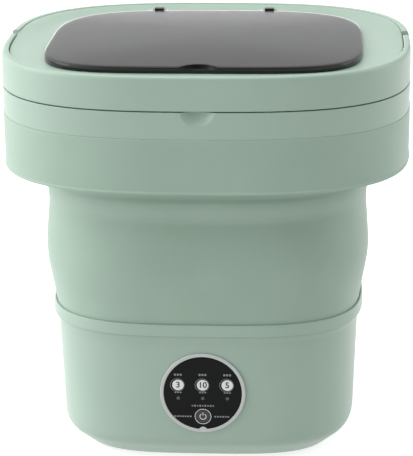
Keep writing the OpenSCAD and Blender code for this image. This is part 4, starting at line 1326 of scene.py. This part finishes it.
    def button(self) -> None:
        """The start button: a shallow dished key with a plain power sign."""
        top, r = self.face + 0.1, self.button_r
        rows = np.array([
            (0.1, -3.4), (1.6, -3.4), (1.6, -2.4), (r, -2.4), (r, top - 0.35), (r - 0.1, top - 0.1),
            (r - 0.4, top), (3.6, top - 0.12), (2.0, top - 0.2), (0.1, top - 0.22)])
        grid = revolve(rows[:, :1], rows[:, 1:], circle(96))
        piece = capped_mesh("start_key", moved(grid, self.at(0, -self.button_drop, 0)), 35.0)
        fit(piece, "start_button", Finish.BLACK_ABS, "start_button")
        t = np.linspace(math.radians(125), math.radians(415), 40)
        outside = 2.5 * np.stack([np.cos(t), np.sin(t)], 1)
        inside = 2.05 * np.stack([np.cos(t[::-1]), np.sin(t[::-1])], 1)
        self.sign("start_sign_arc", np.concatenate([outside, inside]), top)
        bar = np.array([(-0.24, 0.9), (0.24, 0.9), (0.24, 3.2), (-0.24, 3.2)])
        self.sign("start_sign_bar", bar, top)

    def sign(self, name: str, outline: np.ndarray, top: float) -> None:
        """A strip of ink on the start button.

        Args:
            name: The piece's name.
            outline: (points, 2) about the button's middle.
            top: Height of the button's rim.
        """
        count = len(outline)
        layers = [np.c_[outline, np.full(count, z)] for z in (top - 0.22, top - 0.05)]
        points = moved(np.concatenate(layers), self.at(0, -self.button_drop, 0))
        sides = [[k, (k + 1) % count, count + (k + 1) % count, count + k] for k in range(count)]
        faces = [list(range(count))[::-1], list(range(count, 2 * count)), *sides]
        fit(link_mesh(name, points, faces), "start_button", Finish.INK_WHITE)

    def build(self) -> None:
        """Builds and dresses the whole panel."""
        self.bezel()
        self.lens()
        self.marks()
        self.button()


@dataclass
class Inside:
    """Finishes of the CAD nodes that show as they are.

    Attributes:
        finishes: Finish to the CAD nodes that wear it.
    """

    finishes: dict = field(default_factory=lambda: {
        Finish.SAGE_INNER: ("bottom_cover", "tub_pan", "bearing_housing", "band_core"),
        Finish.SAGE_PP: ("basket_nut",),
        Finish.RUBBER: ("feet", "wall_gasket", "shaft_seal", "lid_gasket"),
        Finish.BLACK_ABS: ("window_hinges", "power_inlet", "motor_end_cap", "start_switch"),
        Finish.WHITE_PP: ("pulsator", "drain_basket", "drain_grate", "drain_pipe", "program_lamps"),
        Finish.POM: ("drive_gear", "pinion"),
        Finish.STEEL: ("cover_screws", "bracket_screws", "motor_screws", "board_screws",
                       "upper_bearing", "lower_bearing", "handle_pins", "hinge_pins",
                       "pulsator_shaft", "motor_shaft", "motor_bracket"),
        Finish.CAN_STEEL: ("motor_can",),
        Finish.FERRITE: ("motor_magnets",),
        Finish.IRON: ("rotor_core",),
        Finish.BOARD: ("control_board",),
    })

    def build(self) -> None:
        """Gives every shown CAD node its finish."""
        for finish, nodes in self.finishes.items():
            for node in nodes:
                paint(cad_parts[node], finish)
                LOG.info("%s is dressed as %s", node, finish.value.name)


# ---------------------------------------------------------------- studio


@dataclass
class Studio:
    """Camera, soft lights and a pale floor.

    Attributes:
        azimuth: Camera's turn round the washer, in degrees, towards +X.
        elevation: Camera's height above the horizon, in degrees.
        distance: Camera's distance from the target.
        target_z: Height of the target.
        roll: Camera's roll, in degrees.
        lens: Focal length for a 36 mm sensor.
        shift: Camera shift, in shares of the frame's long side.
        floor_half: Half the floor's side.
        aim: Point that the soft lights face, in metres.
        dim_room: Brightness of the surround where no other part of it adds any.
        surround: Each part's axis of the view direction, start and end on it, and brightness.
    """

    azimuth: float = 3.5
    elevation: float = 17.57
    distance: float = 1563.0
    target_z: float = 151.0
    roll: float = -0.52
    lens: float = 161.7
    shift: tuple[float, float] = (-0.0068, 0.0099)
    floor_half: float = 12000.0
    aim: tuple[float, float, float] = (0, 0, 0.16)
    dim_room: float = 0.25
    surround: tuple = (
        ("Y", 0.2, 0.75, 0.23),
        ("X", -0.05, -0.95, 1.3),
        ("X", 0.15, 0.95, 0.50),
        ("Z", 0.5, 0.95, 0.75),
        ("Z", -0.1, -0.8, 0.35),
    )

    def camera(self) -> None:
        """Makes the camera and sets it as the scene's."""
        a, e = math.radians(self.azimuth), math.radians(self.elevation)
        back = Vector((math.sin(a) * math.cos(e), -math.cos(a) * math.cos(e), math.sin(e)))
        data = bpy.data.cameras.new("camera")
        data.lens, data.sensor_width = self.lens, 36.0
        data.shift_x, data.shift_y = self.shift
        data.clip_start, data.clip_end = 0.05, 50.0
        camera = add_object("camera", data)
        camera.location = (Vector((0, 0, self.target_z)) + back * self.distance) * MM
        camera.rotation_mode = "QUATERNION"
        level = (-back).to_track_quat("-Z", "Y")
        camera.rotation_quaternion = level @ Quaternion((0, 0, 1), math.radians(self.roll))
        bpy.context.scene.camera = camera

    def softbox(
        self, name: str, at: tuple[float, float, float], size: tuple[float, float], watts: float
    ) -> None:
        """A rectangular area light that faces the washer.

        Args:
            name: The light's name.
            at: Its place in metres.
            size: Its width and height in metres.
            watts: Its power.
        """
        data = bpy.data.lights.new(name, "AREA")
        data.shape, data.size, data.size_y, data.energy = "RECTANGLE", size[0], size[1], watts
        light = add_object(name, data)
        light.location = at
        light.rotation_mode = "QUATERNION"
        light.rotation_quaternion = (Vector(self.aim) - Vector(at)).to_track_quat("-Z", "Y")

    def world(self) -> None:
        """A soft surround: a white wall behind, a large soft source at the left, a smaller one at
        the right, and a dim room on the panel's side.

        Each part is a smooth step along one axis of the view direction, and the parts add up.
        """
        world = bpy.data.worlds.new("surround")
        world.use_nodes = True
        tree = world.node_tree
        tree.nodes.clear()
        where = add_node(tree, "ShaderNodeTexCoord", {})
        axes = add_node(tree, "ShaderNodeSeparateXYZ", {"Vector": where.outputs["Generated"]})
        total = self.dim_room
        for axis, start, end, level in self.surround:
            part = mapped(tree, axes.outputs[axis], (start, end), (0.0, level), "SMOOTHSTEP")
            total = add_node(tree, "ShaderNodeMath", {0: part, 1: total}).outputs[0]
        white = (1, 1, 1, 1)
        surround = add_node(tree, "ShaderNodeBackground", {"Color": white, "Strength": total})
        add_node(tree, "ShaderNodeOutputWorld", {"Surface": surround.outputs["Background"]})
        bpy.context.scene.world = world

    def floor(self) -> None:
        """A wide pale floor that shows and shades, but sends no light back up."""
        corners = np.array([(-1, -1, 0), (1, -1, 0), (1, 1, 0), (-1, 1, 0)])
        floor = link_mesh("floor", corners * self.floor_half, [(0, 1, 2, 3)])
        material, tree, _ = new_material("pale_floor")
        surface(tree, {
            "Base Color": hex_linear("C8C8C8"), "Roughness": 0.9, "Specular IOR Level": 0.1,
            "Emission Color": (1, 1, 1, 1), "Emission Strength": 0.72})
        floor.data.materials.append(material)
        floor.visible_diffuse = False

    def build(self) -> None:
        """Sets up the whole studio."""
        self.camera()
        self.world()
        self.floor()
        self.softbox("key_left", (-1.9, -0.35, 1.0), (1.4, 1.6), 16)
        self.softbox("fill_right", (2.0, 0.3, 0.9), (1.2, 1.5), 6)
        self.softbox("top", (-0.3, -0.3, 2.3), (1.6, 1.6), 16)
        self.softbox("back", (-0.45, 3.2, 0.5), (2.0, 0.35), 9)
        bpy.context.scene.view_settings.view_transform = "Standard"


def main() -> None:
    """Builds every sub-assembly in order."""
    logging.basicConfig(level=logging.INFO, format="%(name)s: %(message)s")
    Studio().build()
    base = Base()
    base.build()
    SoftWall().build()
    collar = Collar()
    collar.build()
    Lid(collar).build()
    Panel(base).build()
    Inside().build()


if __name__ == "__main__":
    main()
